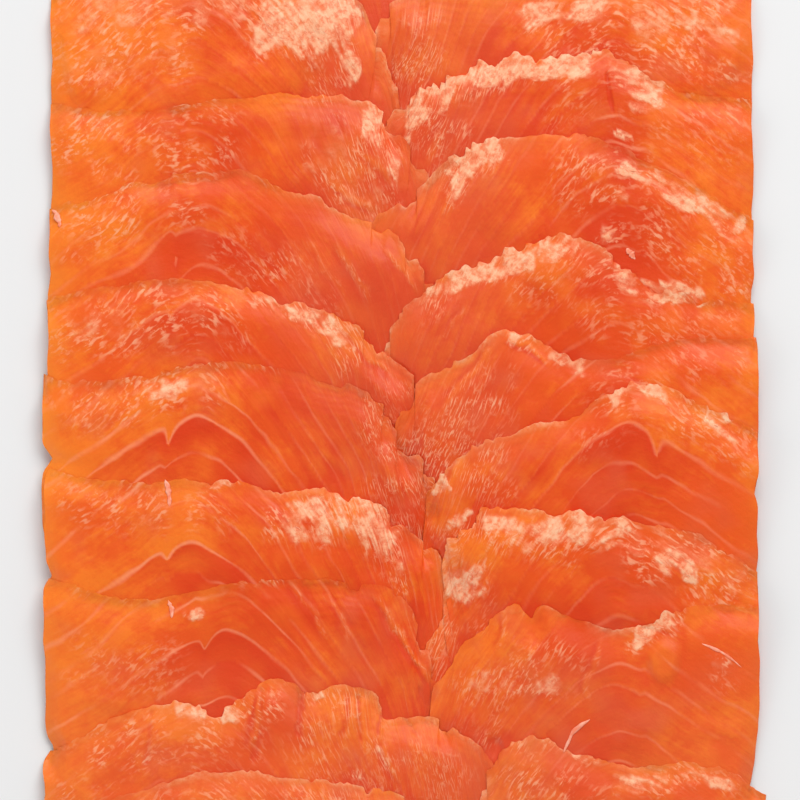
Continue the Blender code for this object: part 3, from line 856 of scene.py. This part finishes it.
def linear(hexColour):
    # an sRGB hex colour as linear values
    values = [int(hexColour[i : i + 2], 16) / 255.0 for i in (1, 3, 5)]
    return [v / 12.92 if v <= 0.04045 else ((v + 0.055) / 1.055) ** 2.4 for v in values] + [1.0]


def addNode(tree, kind, inputs=(), **settings):
    # adds a node. Inputs are linked to a socket or a node's first output, or set to a value or a hex colour.
    # A setting that isn't a property of the node is an input's value too.
    node = tree.nodes.new(kind)
    for name, value in settings.items():
        if hasattr(node, name):
            setattr(node, name, value)
        else:
            node.inputs[name.replace("_", " ")].default_value = value
    for socket, source in dict(inputs).items():
        source = source.outputs[0] if isinstance(source, bpy.types.Node) else source
        if isinstance(source, bpy.types.NodeSocket):
            tree.links.new(source, node.inputs[socket])
        else:
            node.inputs[socket].default_value = linear(source) if isinstance(source, str) else source
    return node


def newMaterial(name, roughness):
    # a material with its shader at a moist surface's IOR, and its place in the object
    material = bpy.data.materials.new(name)
    material.use_nodes = True
    tree = material.node_tree
    shader = tree.nodes["Principled BSDF"]
    shader.inputs["Roughness"].default_value = roughness
    shader.inputs["IOR"].default_value = 1.4
    return material, tree, shader, addNode(tree, "ShaderNodeTexCoord").outputs["Object"]


fleshLook = {
    "redder": "#EB5717",
    "oranger": "#F67920",
    "deep": "#DC3E11",  # the thick red muscle, and the shade under the next slice
    "thin": "#FC8828",  # where light comes back through from below
    "fat": "#FFA27A",
    "duller": "#DE6442",
    # torn flesh's own paler colour, which is also a painted highlight
    "torn": "#FCC29A",
    "tornShade": "#FA8E5E",
    "roughness": 0.48,
    "specular": 0.28,
    "coat": 0.08,
    "coatRoughness": 0.2,
    "subsurface": 0.2,
    "subsurfaceRadius": (0.0004, 0.0003, 0.00025),  # m, short, because thin crests turn dull with more
    "mottleScale": 420.0,  # spots of about 2.4 mm
    "clumpScale": 560.0,  # clumps of about 1.8 mm
    "fibreWidth": 0.8,  # mm, coarser than the real fibres, which would be too fine to show
    "fibreLength": 6.0,
    "strokeWidth": 1.3,  # mm, of the pale wisps along the grain
    "strokeLength": 3.0,
    "spots": 1.3,  # how much the spots, clumps and fibres shift the colour from redder to oranger
    "clumps": 0.7,
    "fibres": 1.1,
    "evenLevel": 0.9,  # what the three come to on average
    "tornLevels": (0.35, 1.3),  # from torn flesh's shade to its lightest
    "brokenBy": (0.38, 0.58, 0.45, 1.25),  # the clumps' levels that break up pale flesh, and what is left
    "wispLevels": (0.5, 0.72),
    # the pale grains are painted glints
    "glintLevels": (0.52, 0.7, 0.75),  # the clumps' levels where pale grains show, and how clear they are
    "bump": (0.3, 0.2),  # of whole flesh, and how much more of torn flesh
    "bumpStrength": 0.7,
    "bumpHeight": 0.0004,  # m
}


def fleshMaterial():
    # cold-smoked salmon flesh: brined, smoked and cut thin, so it is moist, soft and lets light in
    look = fleshLook
    material, tree, shader, place = newMaterial("coldSmokedSalmonFlesh", look["roughness"])
    names = "phase lineWidth fat thin deep pale tone alongGrain across light dull".split()
    read = {name: addNode(tree, "ShaderNodeAttribute", attribute_name=name).outputs["Fac"] for name in names}

    # spots, clumps and fibres shift the flesh from redder to oranger
    size = {"Vector": place, "Scale": look["mottleScale"]}
    noise = addNode(tree, "ShaderNodeTexNoise", size, Detail=3.0, Roughness=0.6)
    part = {0: noise, 1: look["spots"], 2: -0.5 * look["spots"]}
    spots = addNode(tree, "ShaderNodeMath", part, operation="MULTIPLY_ADD")
    part = {0: read["across"], 1: 1.0 / look["fibreWidth"]}
    across = addNode(tree, "ShaderNodeMath", part, operation="MULTIPLY")
    part = {0: read["alongGrain"], 1: 1.0 / look["fibreLength"]}
    along = addNode(tree, "ShaderNodeMath", part, operation="MULTIPLY")
    grain = addNode(tree, "ShaderNodeCombineXYZ", {"X": across, "Y": along})
    size = {"Vector": grain, "Scale": 0.5}
    fibres = addNode(tree, "ShaderNodeTexNoise", size, noise_dimensions="2D", Detail=2.0)
    size = {"Vector": place, "Scale": look["clumpScale"]}
    clumps = addNode(tree, "ShaderNodeTexNoise", size, Detail=3.0, Roughness=0.66)
    part = {0: clumps, 1: look["clumps"], 2: spots}
    fine = addNode(tree, "ShaderNodeMath", part, operation="MULTIPLY_ADD")
    part = {0: fibres, 1: look["fibres"], 2: fine}
    both = addNode(tree, "ShaderNodeMath", part, operation="MULTIPLY_ADD")
    level = addNode(tree, "ShaderNodeMath", {0: both, 1: look["evenLevel"]}, operation="SUBTRACT")
    blend = addNode(tree, "ShaderNodeMath", {0: level, 1: read["tone"]}, operation="ADD", use_clamp=True)

    # fat lines where the phase of the bands is near a whole number
    step = addNode(tree, "ShaderNodeMath", {0: read["phase"], 1: 0.5}, operation="PINGPONG")
    nearness = addNode(tree, "ShaderNodeMath", {0: step, 1: read["lineWidth"]}, operation="DIVIDE")
    falling = {"Value": nearness, "To Min": 1.0, "To Max": 0.0}
    line = addNode(tree, "ShaderNodeMapRange", falling, interpolation_type="SMOOTHSTEP")
    fat = addNode(tree, "ShaderNodeMath", {0: line, 1: read["fat"]}, operation="MULTIPLY")

    # torn flesh: broken pale stretches, partly its own colour and partly a painted highlight, and sparse
    # wisps and grains of painted highlight around them
    low, high, least, most = look["brokenBy"]
    levels = {"Value": clumps, "From Min": low, "From Max": high, "To Min": least, "To Max": most}
    broken = addNode(tree, "ShaderNodeMapRange", levels)
    pale = addNode(tree, "ShaderNodeMath", {0: read["pale"], 1: broken}, operation="MULTIPLY", use_clamp=True)
    low, high = look["tornLevels"]
    tornLevel = addNode(tree, "ShaderNodeMapRange", {"Value": both}, From_Min=low, From_Max=high)
    stroke = (look["fibreWidth"] / look["strokeWidth"], look["fibreLength"] / look["strokeLength"], 0.0)
    drawn = addNode(tree, "ShaderNodeVectorMath", {0: grain, 1: stroke}, operation="MULTIPLY")
    size = {"Vector": drawn, "Scale": 1.0}
    strokes = addNode(tree, "ShaderNodeTexNoise", size, noise_dimensions="2D", Detail=1.0)
    low, high = look["wispLevels"]
    levels = {"Value": strokes, "From Min": low, "From Max": high}
    sparse = addNode(tree, "ShaderNodeMapRange", levels, interpolation_type="SMOOTHSTEP")
    low, high, most = look["glintLevels"]
    levels = {"Value": clumps, "From Min": low, "From Max": high, "To Max": most}
    glints = addNode(tree, "ShaderNodeMapRange", levels, interpolation_type="SMOOTHSTEP")
    either = addNode(tree, "ShaderNodeMath", {0: sparse, 1: glints}, operation="MAXIMUM")
    part = {0: either, 1: read["light"]}
    faint = addNode(tree, "ShaderNodeMath", part, operation="MULTIPLY", use_clamp=True)
    light = addNode(tree, "ShaderNodeMath", {0: pale, 1: faint}, operation="MAXIMUM")

    # each colour covers those before it; inputs 6 and 7 and output 2 are the Mix node's colours
    shades = {0: tornLevel, 6: look["tornShade"], 7: look["torn"]}
    torn = addNode(tree, "ShaderNodeMix", shades, data_type="RGBA").outputs[2]
    colour = look["redder"]
    covers = (
        (blend, look["oranger"]), (read["deep"], look["deep"]), (read["thin"], look["thin"]),
        (read["dull"], look["duller"]), (fat, look["fat"]), (light, torn),
    )
    for amount, cover in covers:
        colour = addNode(tree, "ShaderNodeMix", {0: amount, 6: colour, 7: cover}, data_type="RGBA").outputs[2]
    tree.links.new(colour, shader.inputs["Base Color"])
    shader.inputs["Specular IOR Level"].default_value = look["specular"]
    shader.inputs["Subsurface Weight"].default_value = look["subsurface"]
    shader.inputs["Subsurface Radius"].default_value = look["subsurfaceRadius"]
    shader.inputs["Subsurface Scale"].default_value = 1.0
    shader.inputs["Coat Weight"].default_value = look["coat"]
    shader.inputs["Coat Roughness"].default_value = look["coatRoughness"]
    whole, more = look["bump"]
    rough = addNode(tree, "ShaderNodeMath", {0: read["pale"], 1: more, 2: whole}, operation="MULTIPLY_ADD")
    rise = addNode(tree, "ShaderNodeMath", {0: clumps, 1: both}, operation="ADD")
    lift = addNode(tree, "ShaderNodeMath", {0: rise, 1: rough}, operation="MULTIPLY")
    height = {"Height": lift, "Strength": look["bumpStrength"], "Distance": look["bumpHeight"]}
    bump = addNode(tree, "ShaderNodeBump", height)
    tree.links.new(bump.outputs[0], shader.inputs["Normal"])
    return material


def mottleColour(tree, shader, place, scale, shades):
    # soft spots of two shades
    noise = addNode(tree, "ShaderNodeTexNoise", {"Vector": place}, Scale=scale, Detail=2.0)
    ramp = addNode(tree, "ShaderNodeValToRGB", {"Fac": noise})
    for element, position, shade in zip(ramp.color_ramp.elements, (0.35, 0.65), shades):
        element.position, element.color = position, linear(shade)
    tree.links.new(ramp.outputs["Color"], shader.inputs["Base Color"])


# loose ends of muscle fibre that stand up from the torn places
fibreTufts = {
    "perSquareMetre": 3e5,  # where the flesh is torn most
    "least": (0.5, 0.07, 0.05),  # mm, half their length, width and height
    "most": (1.5, 0.15, 0.11),
    "tilt": 0.12,  # radians
    "turn": 0.5,
    "seed": 12,
    "leastTorn": 0.45,
    "fromCrest": 1.5,  # mm
    # the paler of the two is partly a painted highlight
    "shades": ("#FA8C60", "#FFAE86"),
    "roughness": 0.4,
    "coat": 0.3,
    "coatRoughness": 0.2,
}


def tornFibreMaterial():
    # torn ends of salmon muscle fibre, a little drier and paler than the cut face; the paler shade is partly
    # a painted highlight
    look = fibreTufts
    material, tree, shader, place = newMaterial("tornSalmonFibre", look["roughness"])
    mottleColour(tree, shader, place, fleshLook["mottleScale"], look["shades"])
    shader.inputs["Coat Weight"].default_value = look["coat"]
    shader.inputs["Coat Roughness"].default_value = look["coatRoughness"]
    return material


def tornGround(laid, pile):
    # the torn stretches of every slice that show, as one sheet to stand the loose ends on
    corners, faces, torn, grain = [], [], [], []
    for piece in laid:
        x, y, z, tornHere, pale, back, lean = (
            piece[key][::2, ::2] for key in ("x", "y", "upper", "torn", "pale", "back", "lean")
        )
        amount = np.clip(tornHere, 0.0, 1.0) * (0.3 + 0.7 * pale)
        shown = pile.read((pile.slice == piece["index"]).astype(float), x, y) > 0.99
        shown = shown & (amount > fibreTufts["leastTorn"]) & (back > fibreTufts["fromCrest"])
        r, c = np.nonzero(shown[:-1, :-1] & shown[1:, :-1] & shown[1:, 1:] & shown[:-1, 1:])
        start, columns = len(corners), x.shape[1]
        ring = [r * columns + c, (r + 1) * columns + c, (r + 1) * columns + c + 1, r * columns + c + 1]
        faces += (np.stack(ring, axis=-1) + start).tolist()
        corners += (np.stack([x, y, z], axis=-1).reshape(-1, 3) * mm).tolist()
        torn.append(amount.ravel())
        lean, inward = lean.ravel(), 1.0 if piece["onLeft"] else -1.0
        grain.append(np.stack([inward * np.cos(lean), -np.sin(lean), 0.0 * lean], axis=-1))
    mesh = bpy.data.meshes.new("tornGround")
    mesh.from_pydata(corners, [], faces)
    mesh.attributes.new("torn", "FLOAT", "POINT").data.foreach_set("value", np.concatenate(torn))
    grain = np.concatenate(grain).ravel()
    mesh.attributes.new("grain", "FLOAT_VECTOR", "POINT").data.foreach_set("vector", grain)
    ground = bpy.data.objects.new("tornGround", mesh)
    bpy.context.scene.collection.objects.link(ground)
    return ground


def tuftTree(material):
    tree = bpy.data.node_groups.new("tornFibres", "GeometryNodeTree")
    tree.is_modifier = True
    tree.interface.new_socket("Geometry", in_out="INPUT", socket_type="NodeSocketGeometry")
    for name in ("Fibres per square metre", "Tilt", "Turn"):
        tree.interface.new_socket(name, in_out="INPUT", socket_type="NodeSocketFloat")
    for name in ("Smallest", "Largest"):
        tree.interface.new_socket(name, in_out="INPUT", socket_type="NodeSocketVector")
    tree.interface.new_socket("Seed", in_out="INPUT", socket_type="NodeSocketInt")
    tree.interface.new_socket("Geometry", in_out="OUTPUT", socket_type="NodeSocketGeometry")
    given = addNode(tree, "NodeGroupInput").outputs
    torn = addNode(tree, "GeometryNodeInputNamedAttribute", data_type="FLOAT", Name="torn")
    grain = addNode(tree, "GeometryNodeInputNamedAttribute", data_type="FLOAT_VECTOR", Name="grain")
    most = given["Fibres per square metre"]
    density = addNode(tree, "ShaderNodeMath", {0: torn, 1: most}, operation="MULTIPLY")
    strewn = {"Mesh": given["Geometry"], "Density": density, "Seed": given["Seed"]}
    points = addNode(tree, "GeometryNodeDistributePointsOnFaces", strewn)
    lying = addNode(tree, "FunctionNodeAlignRotationToVector", {"Vector": grain}, axis="X")
    spread = addNode(tree, "ShaderNodeCombineXYZ", {"Y": given["Tilt"], "Z": given["Turn"]})
    back = addNode(tree, "ShaderNodeVectorMath", {0: spread}, operation="SCALE", Scale=-1.0)
    between = {"Min": back, "Max": spread, "Seed": given["Seed"]}
    sway = addNode(tree, "FunctionNodeRandomValue", between, data_type="FLOAT_VECTOR")
    turned = addNode(tree, "FunctionNodeRotateRotation", {0: lying, 1: sway}, rotation_space="LOCAL")
    between = {"Min": given["Smallest"], "Max": given["Largest"], "Seed": given["Seed"]}
    size = addNode(tree, "FunctionNodeRandomValue", between, data_type="FLOAT_VECTOR")
    spindle = addNode(tree, "GeometryNodeMeshUVSphere", Segments=6, Rings=4, Radius=1.0)
    quarterTurn = (0.0, math.pi / 2, 0.0)
    lengthwise = addNode(tree, "GeometryNodeTransform", {"Geometry": spindle, "Rotation": quarterTurn})
    stood = {"Points": points, "Instance": lengthwise, "Rotation": turned, "Scale": size}
    placed = addNode(tree, "GeometryNodeInstanceOnPoints", stood)
    realized = addNode(tree, "GeometryNodeRealizeInstances", {0: placed})
    smooth = addNode(tree, "GeometryNodeSetShadeSmooth", {0: realized})
    finished = addNode(tree, "GeometryNodeSetMaterial", {0: smooth}, Material=material)
    tree.links.new(finished.outputs[0], addNode(tree, "NodeGroupOutput").inputs[0])
    return tree


def growTufts(laid, pile):
    ground = tornGround(laid, pile)
    tree = tuftTree(tornFibreMaterial())
    grow = ground.modifiers.new("tornFibres", "NODES")
    grow.node_group = tree
    wanted = {
        "Fibres per square metre": fibreTufts["perSquareMetre"], "Seed": fibreTufts["seed"],
        "Tilt": fibreTufts["tilt"], "Turn": fibreTufts["turn"],
        "Smallest": [size * mm for size in fibreTufts["least"]],
        "Largest": [size * mm for size in fibreTufts["most"]],
    }
    for socket in tree.interface.items_tree:
        if socket.name in wanted:
            grow[socket.identifier] = wanted[socket.name]
    bpy.context.view_layer.update()
    grown = bpy.data.meshes.new_from_object(ground.evaluated_get(bpy.context.evaluated_depsgraph_get()))
    ground.modifiers.remove(grow)
    bpy.data.objects.remove(ground)
    tufts = bpy.data.objects.new("tornFibres", grown)
    bpy.context.scene.collection.objects.link(tufts)
    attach(tufts, "root")
    print("torn fibres:", len(grown.polygons), "faces")


# Pale strands of membrane that lie on the flesh: both ends, how far the line bows aside, its width.
strands = (
    ((44.3, -79.0), (51.7, -69.7), 0.8, 1.1),
    ((-66.4, -3.0), (-65.6, -10.5), 0.5, 1.4),
    ((-65.6, -36.6), (-64.6, -41.5), 0.3, 1.1),
    ((62.0, 61.4), (64.4, 58.4), 0.2, 1.9),
    ((-98.2, 72.4), (-96.2, 67.4), 0.5, 1.6),
    ((82.9, -48.6), (94.1, -55.6), 0.4, 0.7),
)
strandShape = {
    "steps": 36,
    "around": 8,
    "flatness": 0.18,
    "sink": 0.03,
    "sway": 0.035,  # of the length
    "uneven": 0.4,
    "shades": ("#F98460", "#FFB498"),
    "roughness": 0.35,
}


def membraneMaterial():
    # the thin white connective tissue between muscles, moist and half clear
    material, tree, shader, place = newMaterial("salmonMembrane", strandShape["roughness"])
    shader.inputs["IOR"].default_value = 1.5
    mottleColour(tree, shader, place, fleshLook["clumpScale"], strandShape["shades"])
    return material


def layStrands(pile):
    shape, corners, faces = strandShape, [], []
    for number, (start, end, bow, width) in enumerate(strands):
        t = np.linspace(0.0, 1.0, shape["steps"])
        start, step = np.array(start), np.subtract(end, start)
        length = np.hypot(*step)
        aside = np.array([-step[1], step[0]]) / length
        sway = bow * np.sin(np.pi * t) + shape["sway"] * length * mottle(t * 4.0, 0.0 * t, 1.0, 70 + number)
        line = start + t[:, None] * step + sway[:, None] * aside
        uneven = 1.0 + shape["uneven"] * mottle(t * 9.0, 0.0 * t, 1.0, 80 + number)
        half = 0.5 * width * (0.08 + np.sin(np.pi * t) ** 0.7) * uneven
        height = pile.read(pile.top, line[:, 0], line[:, 1]) - shape["sink"]
        turn = np.linspace(0.0, 2.0 * np.pi, shape["around"], endpoint=False)
        rings = np.zeros((len(t), len(turn), 3))
        rings[..., :2] = line[:, None] + (half[:, None] * np.cos(turn))[..., None] * aside
        thick = shape["flatness"] * half
        rings[..., 2] = (height + thick)[:, None] + thick[:, None] * np.sin(turn)
        base, around = len(corners), len(turn)
        corners += (rings.reshape(-1, 3) * mm).tolist()
        for i in range(len(t) - 1):
            for k in range(around):
                a, b = base + i * around + k, base + i * around + (k + 1) % around
                faces.append([a, b, b + around, a + around])
        faces.append([base + k for k in reversed(range(around))])
        faces.append([base + (len(t) - 1) * around + k for k in range(around)])
    mesh = bpy.data.meshes.new("membraneStrands")
    mesh.from_pydata(corners, [], faces)
    mesh.shade_smooth()
    mesh.materials.append(membraneMaterial())
    laidStrands = bpy.data.objects.new("membraneStrands", mesh)
    bpy.context.scene.collection.objects.link(laidStrands)
    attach(laidStrands, "root")
    print("strands laid:", len(strands))


# What darkens, thins and shifts the flesh's colour from place to place. The pack's two sides aren't alike:
# how much painted light comes through the thin outer end, how orange it is, and how dark the middle of each
# slice.
sideLook = {"left": (0.8, 0.25, 0.12), "right": (0.3, -0.05, 0.28)}
shadeLook = {
    "rim": 0.4,  # how much light comes through the crest's rim
    "rimReach": 3.0,
    "outerReach": 6.0,
    "underCrest": 0.95,  # the shade that the next slice casts
    "underCrestInward": 0.25,
    "bandShade": 0.4,
    "patches": 0.4,
    "dome": 0.8,
    "middleReach": 14.0,  # to both sides of the arches' tops
    # painted shade in the parted fibres and the creases
    "parting": 0.6,
    "cleft": 0.8,
    "layers": 0.25,
    "lip": 0.35,
}


def shadesOf(piece, pile):
    # the attributes that the material reads
    x, y, back, seed, band = piece["x"], piece["y"], piece["back"], piece["seed"], piece["band"]
    look, outward, dome = shadeLook, piece["outward"], piece["dome"]
    covered = pile.shadeOver(piece["index"], piece["onLeft"])
    edge = np.minimum(back, piece["toTip"])
    nearEnd = smoothStep(-y, 40.0, 75.0)
    sideGlow, sideTone, sideDeep = sideLook["left" if piece["onLeft"] else "right"]
    # painted light coming through the crest's rim and the thin outer end
    rim = look["rim"] * (1.0 - piece["faint"]) * (0.7 + 0.6 * mottle(x, y, 11.0, seed + 45))
    thin = np.exp(-edge / look["rimReach"]) * rim + np.exp(-piece["toOuter"] / look["outerReach"]) * sideGlow
    inward = smoothStep(piece["u"], 60.0, 85.0)
    # painted shade beside the crests of the slices that lie on this one, deeper towards the middle
    deep = pile.read(covered, x, y, 2) * (look["underCrest"] + look["underCrestInward"] * inward)
    deep = deep + look["bandShade"] * (1.0 - band) ** 1.5 * smoothStep(back, 2.0, 9.0 + 12.0 * outward)
    deep = deep + look["patches"] * mottle(x, y, 12.0, 31) + 0.2 * (1.0 - outward) - 0.15 * nearEnd
    deep = deep * (1.0 - 0.5 * outward) + look["dome"] * dome
    deep = deep + sideDeep * np.exp(-(((piece["u"] - bands["peak"]) / look["middleReach"]) ** 2))
    deep = deep + (0.0 if piece["onLeft"] else 0.12) * outward + stainedAndCreviceShaded(x, y)
    # painted shade in the parted fibres and the creases
    deep = deep + look["parting"] * piece["parting"] - look["layers"] * piece["layers"]
    # painted shade in the clefts beside loose layers
    deep = deep + look["cleft"] * piece["cleft"]
    patches = 0.6 * mottle(x, y, 14.0, 34) + 0.4 * mottle(x, y, 5.0, 35)
    thin = (thin + 0.3 * smoothStep(patches, 0.1, 0.8)) * (1.0 - 0.7 * dome) + piece["lump"]
    # painted light along the loose layers' edges, none in the clefts beside them
    thin = thin * (1.0 - piece["cleft"]) + look["lip"] * piece["lip"]
    tone = 0.22 + sideTone * outward + 0.6 * mottle(x, y, 17.0, 30) + 0.4 * mottle(x, y, 6.0, 32)
    tone = tone + 0.2 * mottle(x, y, 2.4, 36)
    tone = tone + 0.5 * smoothStep(y, 95.0, 130.0) - 0.5 * dome
    dull = 0.2 * smoothStep(-y, 35.0, 80.0) + 0.3 * smoothStep(-patches, 0.1, 0.8)
    dull = dull + 0.25 * inward * smoothStep(y, -20.0, 25.0)
    return {
        "phase": piece["phase"] + 40.0,  # kept above 0, as is the place across the grain
        "lineWidth": piece["lineWidth"],
        "fat": piece["fat"],
        "thin": np.clip(thin, 0.0, 1.0),
        "deep": np.clip(deep, 0.0, 1.0),
        "pale": piece["pale"],
        "tone": tone + 0.1 * nearEnd,
        "alongGrain": piece["alongGrain"],
        "dull": dull,
        # the loose layers' edges also get a pale painted highlight
        "light": np.maximum(piece["light"], 0.5 * piece["lip"]),
        "across": piece["acrossGrain"] + 400.0,
    }


def laySlices():
    pile = Pile()
    laid = [laySlice(node, index, pile) for index, node in enumerate(slicesByLaying)]
    print("slices draped:", len(laid))
    flesh = fleshMaterial()
    faces = 0
    for piece in laid:
        shown = pile.read((pile.slice == piece["index"]).astype(float), piece["x"], piece["y"]) > 0.01
        shownRows = min(len(shown) - 1, int(np.nonzero(shown.any(axis=1))[0].max()) + 4)
        mesh = sheetMesh(piece, shownRows, shadesOf(piece, pile))
        mesh.materials.append(flesh)
        shape = bpy.data.objects.new(piece["node"] + "_flesh", mesh)
        bpy.context.scene.collection.objects.link(shape)
        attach(shape, "root")
        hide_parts(piece["node"])
        faces += len(mesh.polygons)
    print("slices laid with", faces, "faces")
    growTufts(laid, pile)
    layStrands(pile)


laySlices()


studio = {
    "photoWidth": 224.0,  # mm of the pack across the picture
    "photoCentre": (-1.13, 19.18),
    "cameraHeight": 1500.0,
    "floor": "#E9E9E9",
    "floorHalf": 3.0,  # m
    "floorRoughness": 0.9,
    "sensor": 36.0,
    "distance": 2.5,  # m from the pack to each light
    "key": {"turn": 20.0, "near": 30.0, "far": 64.0, "width": 2.4, "radiance": 5.0},
    "fill": {"turn": 225.0, "near": 52.0, "far": 76.0, "width": 2.6, "radiance": 2.1},
    "worldStrength": 0.42,
}


def softbox(name, turn, near, far, width, radiance):
    # a window-like light seen from the pack between two angles from overhead, turned from +Y towards +X
    lean, turn = math.radians((near + far) / 2), math.radians(turn)
    height = 2.0 * studio["distance"] * math.tan(math.radians(far - near) / 2)
    light = bpy.data.lights.new(name, "AREA")
    light.shape, light.size, light.size_y = "RECTANGLE", width, height
    light.energy = radiance * math.pi * width * height
    made = bpy.data.objects.new(name, light)
    towards = Vector((math.sin(lean) * math.sin(turn), math.sin(lean) * math.cos(turn), math.cos(lean)))
    made.location = towards * studio["distance"]
    made.rotation_euler = (-towards).to_track_quat("-Z", "Y").to_euler()
    bpy.context.scene.collection.objects.link(made)


def makeStudio():
    scene = bpy.context.scene
    scene.view_settings.view_transform = "Standard"
    scene.view_settings.look = "None"
    camera = bpy.data.cameras.new("camera")
    camera.sensor_width = studio["sensor"]
    camera.lens = studio["sensor"] * studio["cameraHeight"] / studio["photoWidth"]
    made = bpy.data.objects.new("camera", camera)
    made.location = Vector((*studio["photoCentre"], studio["cameraHeight"])) * mm
    scene.collection.objects.link(made)
    scene.camera = made
    world = bpy.data.worlds.new("studio")
    world.use_nodes = True
    background = world.node_tree.nodes["Background"]
    background.inputs["Color"].default_value = (1.0, 1.0, 1.0, 1.0)
    background.inputs["Strength"].default_value = studio["worldStrength"]
    scene.world = world
    softbox("keyLight", **studio["key"])
    softbox("fillLight", **studio["fill"])
    floor = bpy.data.meshes.new("floor")
    far = studio["floorHalf"]
    floor.from_pydata([(-far, -far, 0), (far, -far, 0), (far, far, 0), (-far, far, 0)], [], [(0, 1, 2, 3)])
    paper = bpy.data.materials.new("paleMattPaper")
    paper.use_nodes = True
    shader = paper.node_tree.nodes["Principled BSDF"]
    shader.inputs["Base Color"].default_value = linear(studio["floor"])
    shader.inputs["Roughness"].default_value = studio["floorRoughness"]
    floor.materials.append(paper)
    stage = bpy.data.objects.new("floor", floor)
    scene.collection.objects.link(stage)


makeStudio()
print("studio set")

bpy.context.view_layer.update()
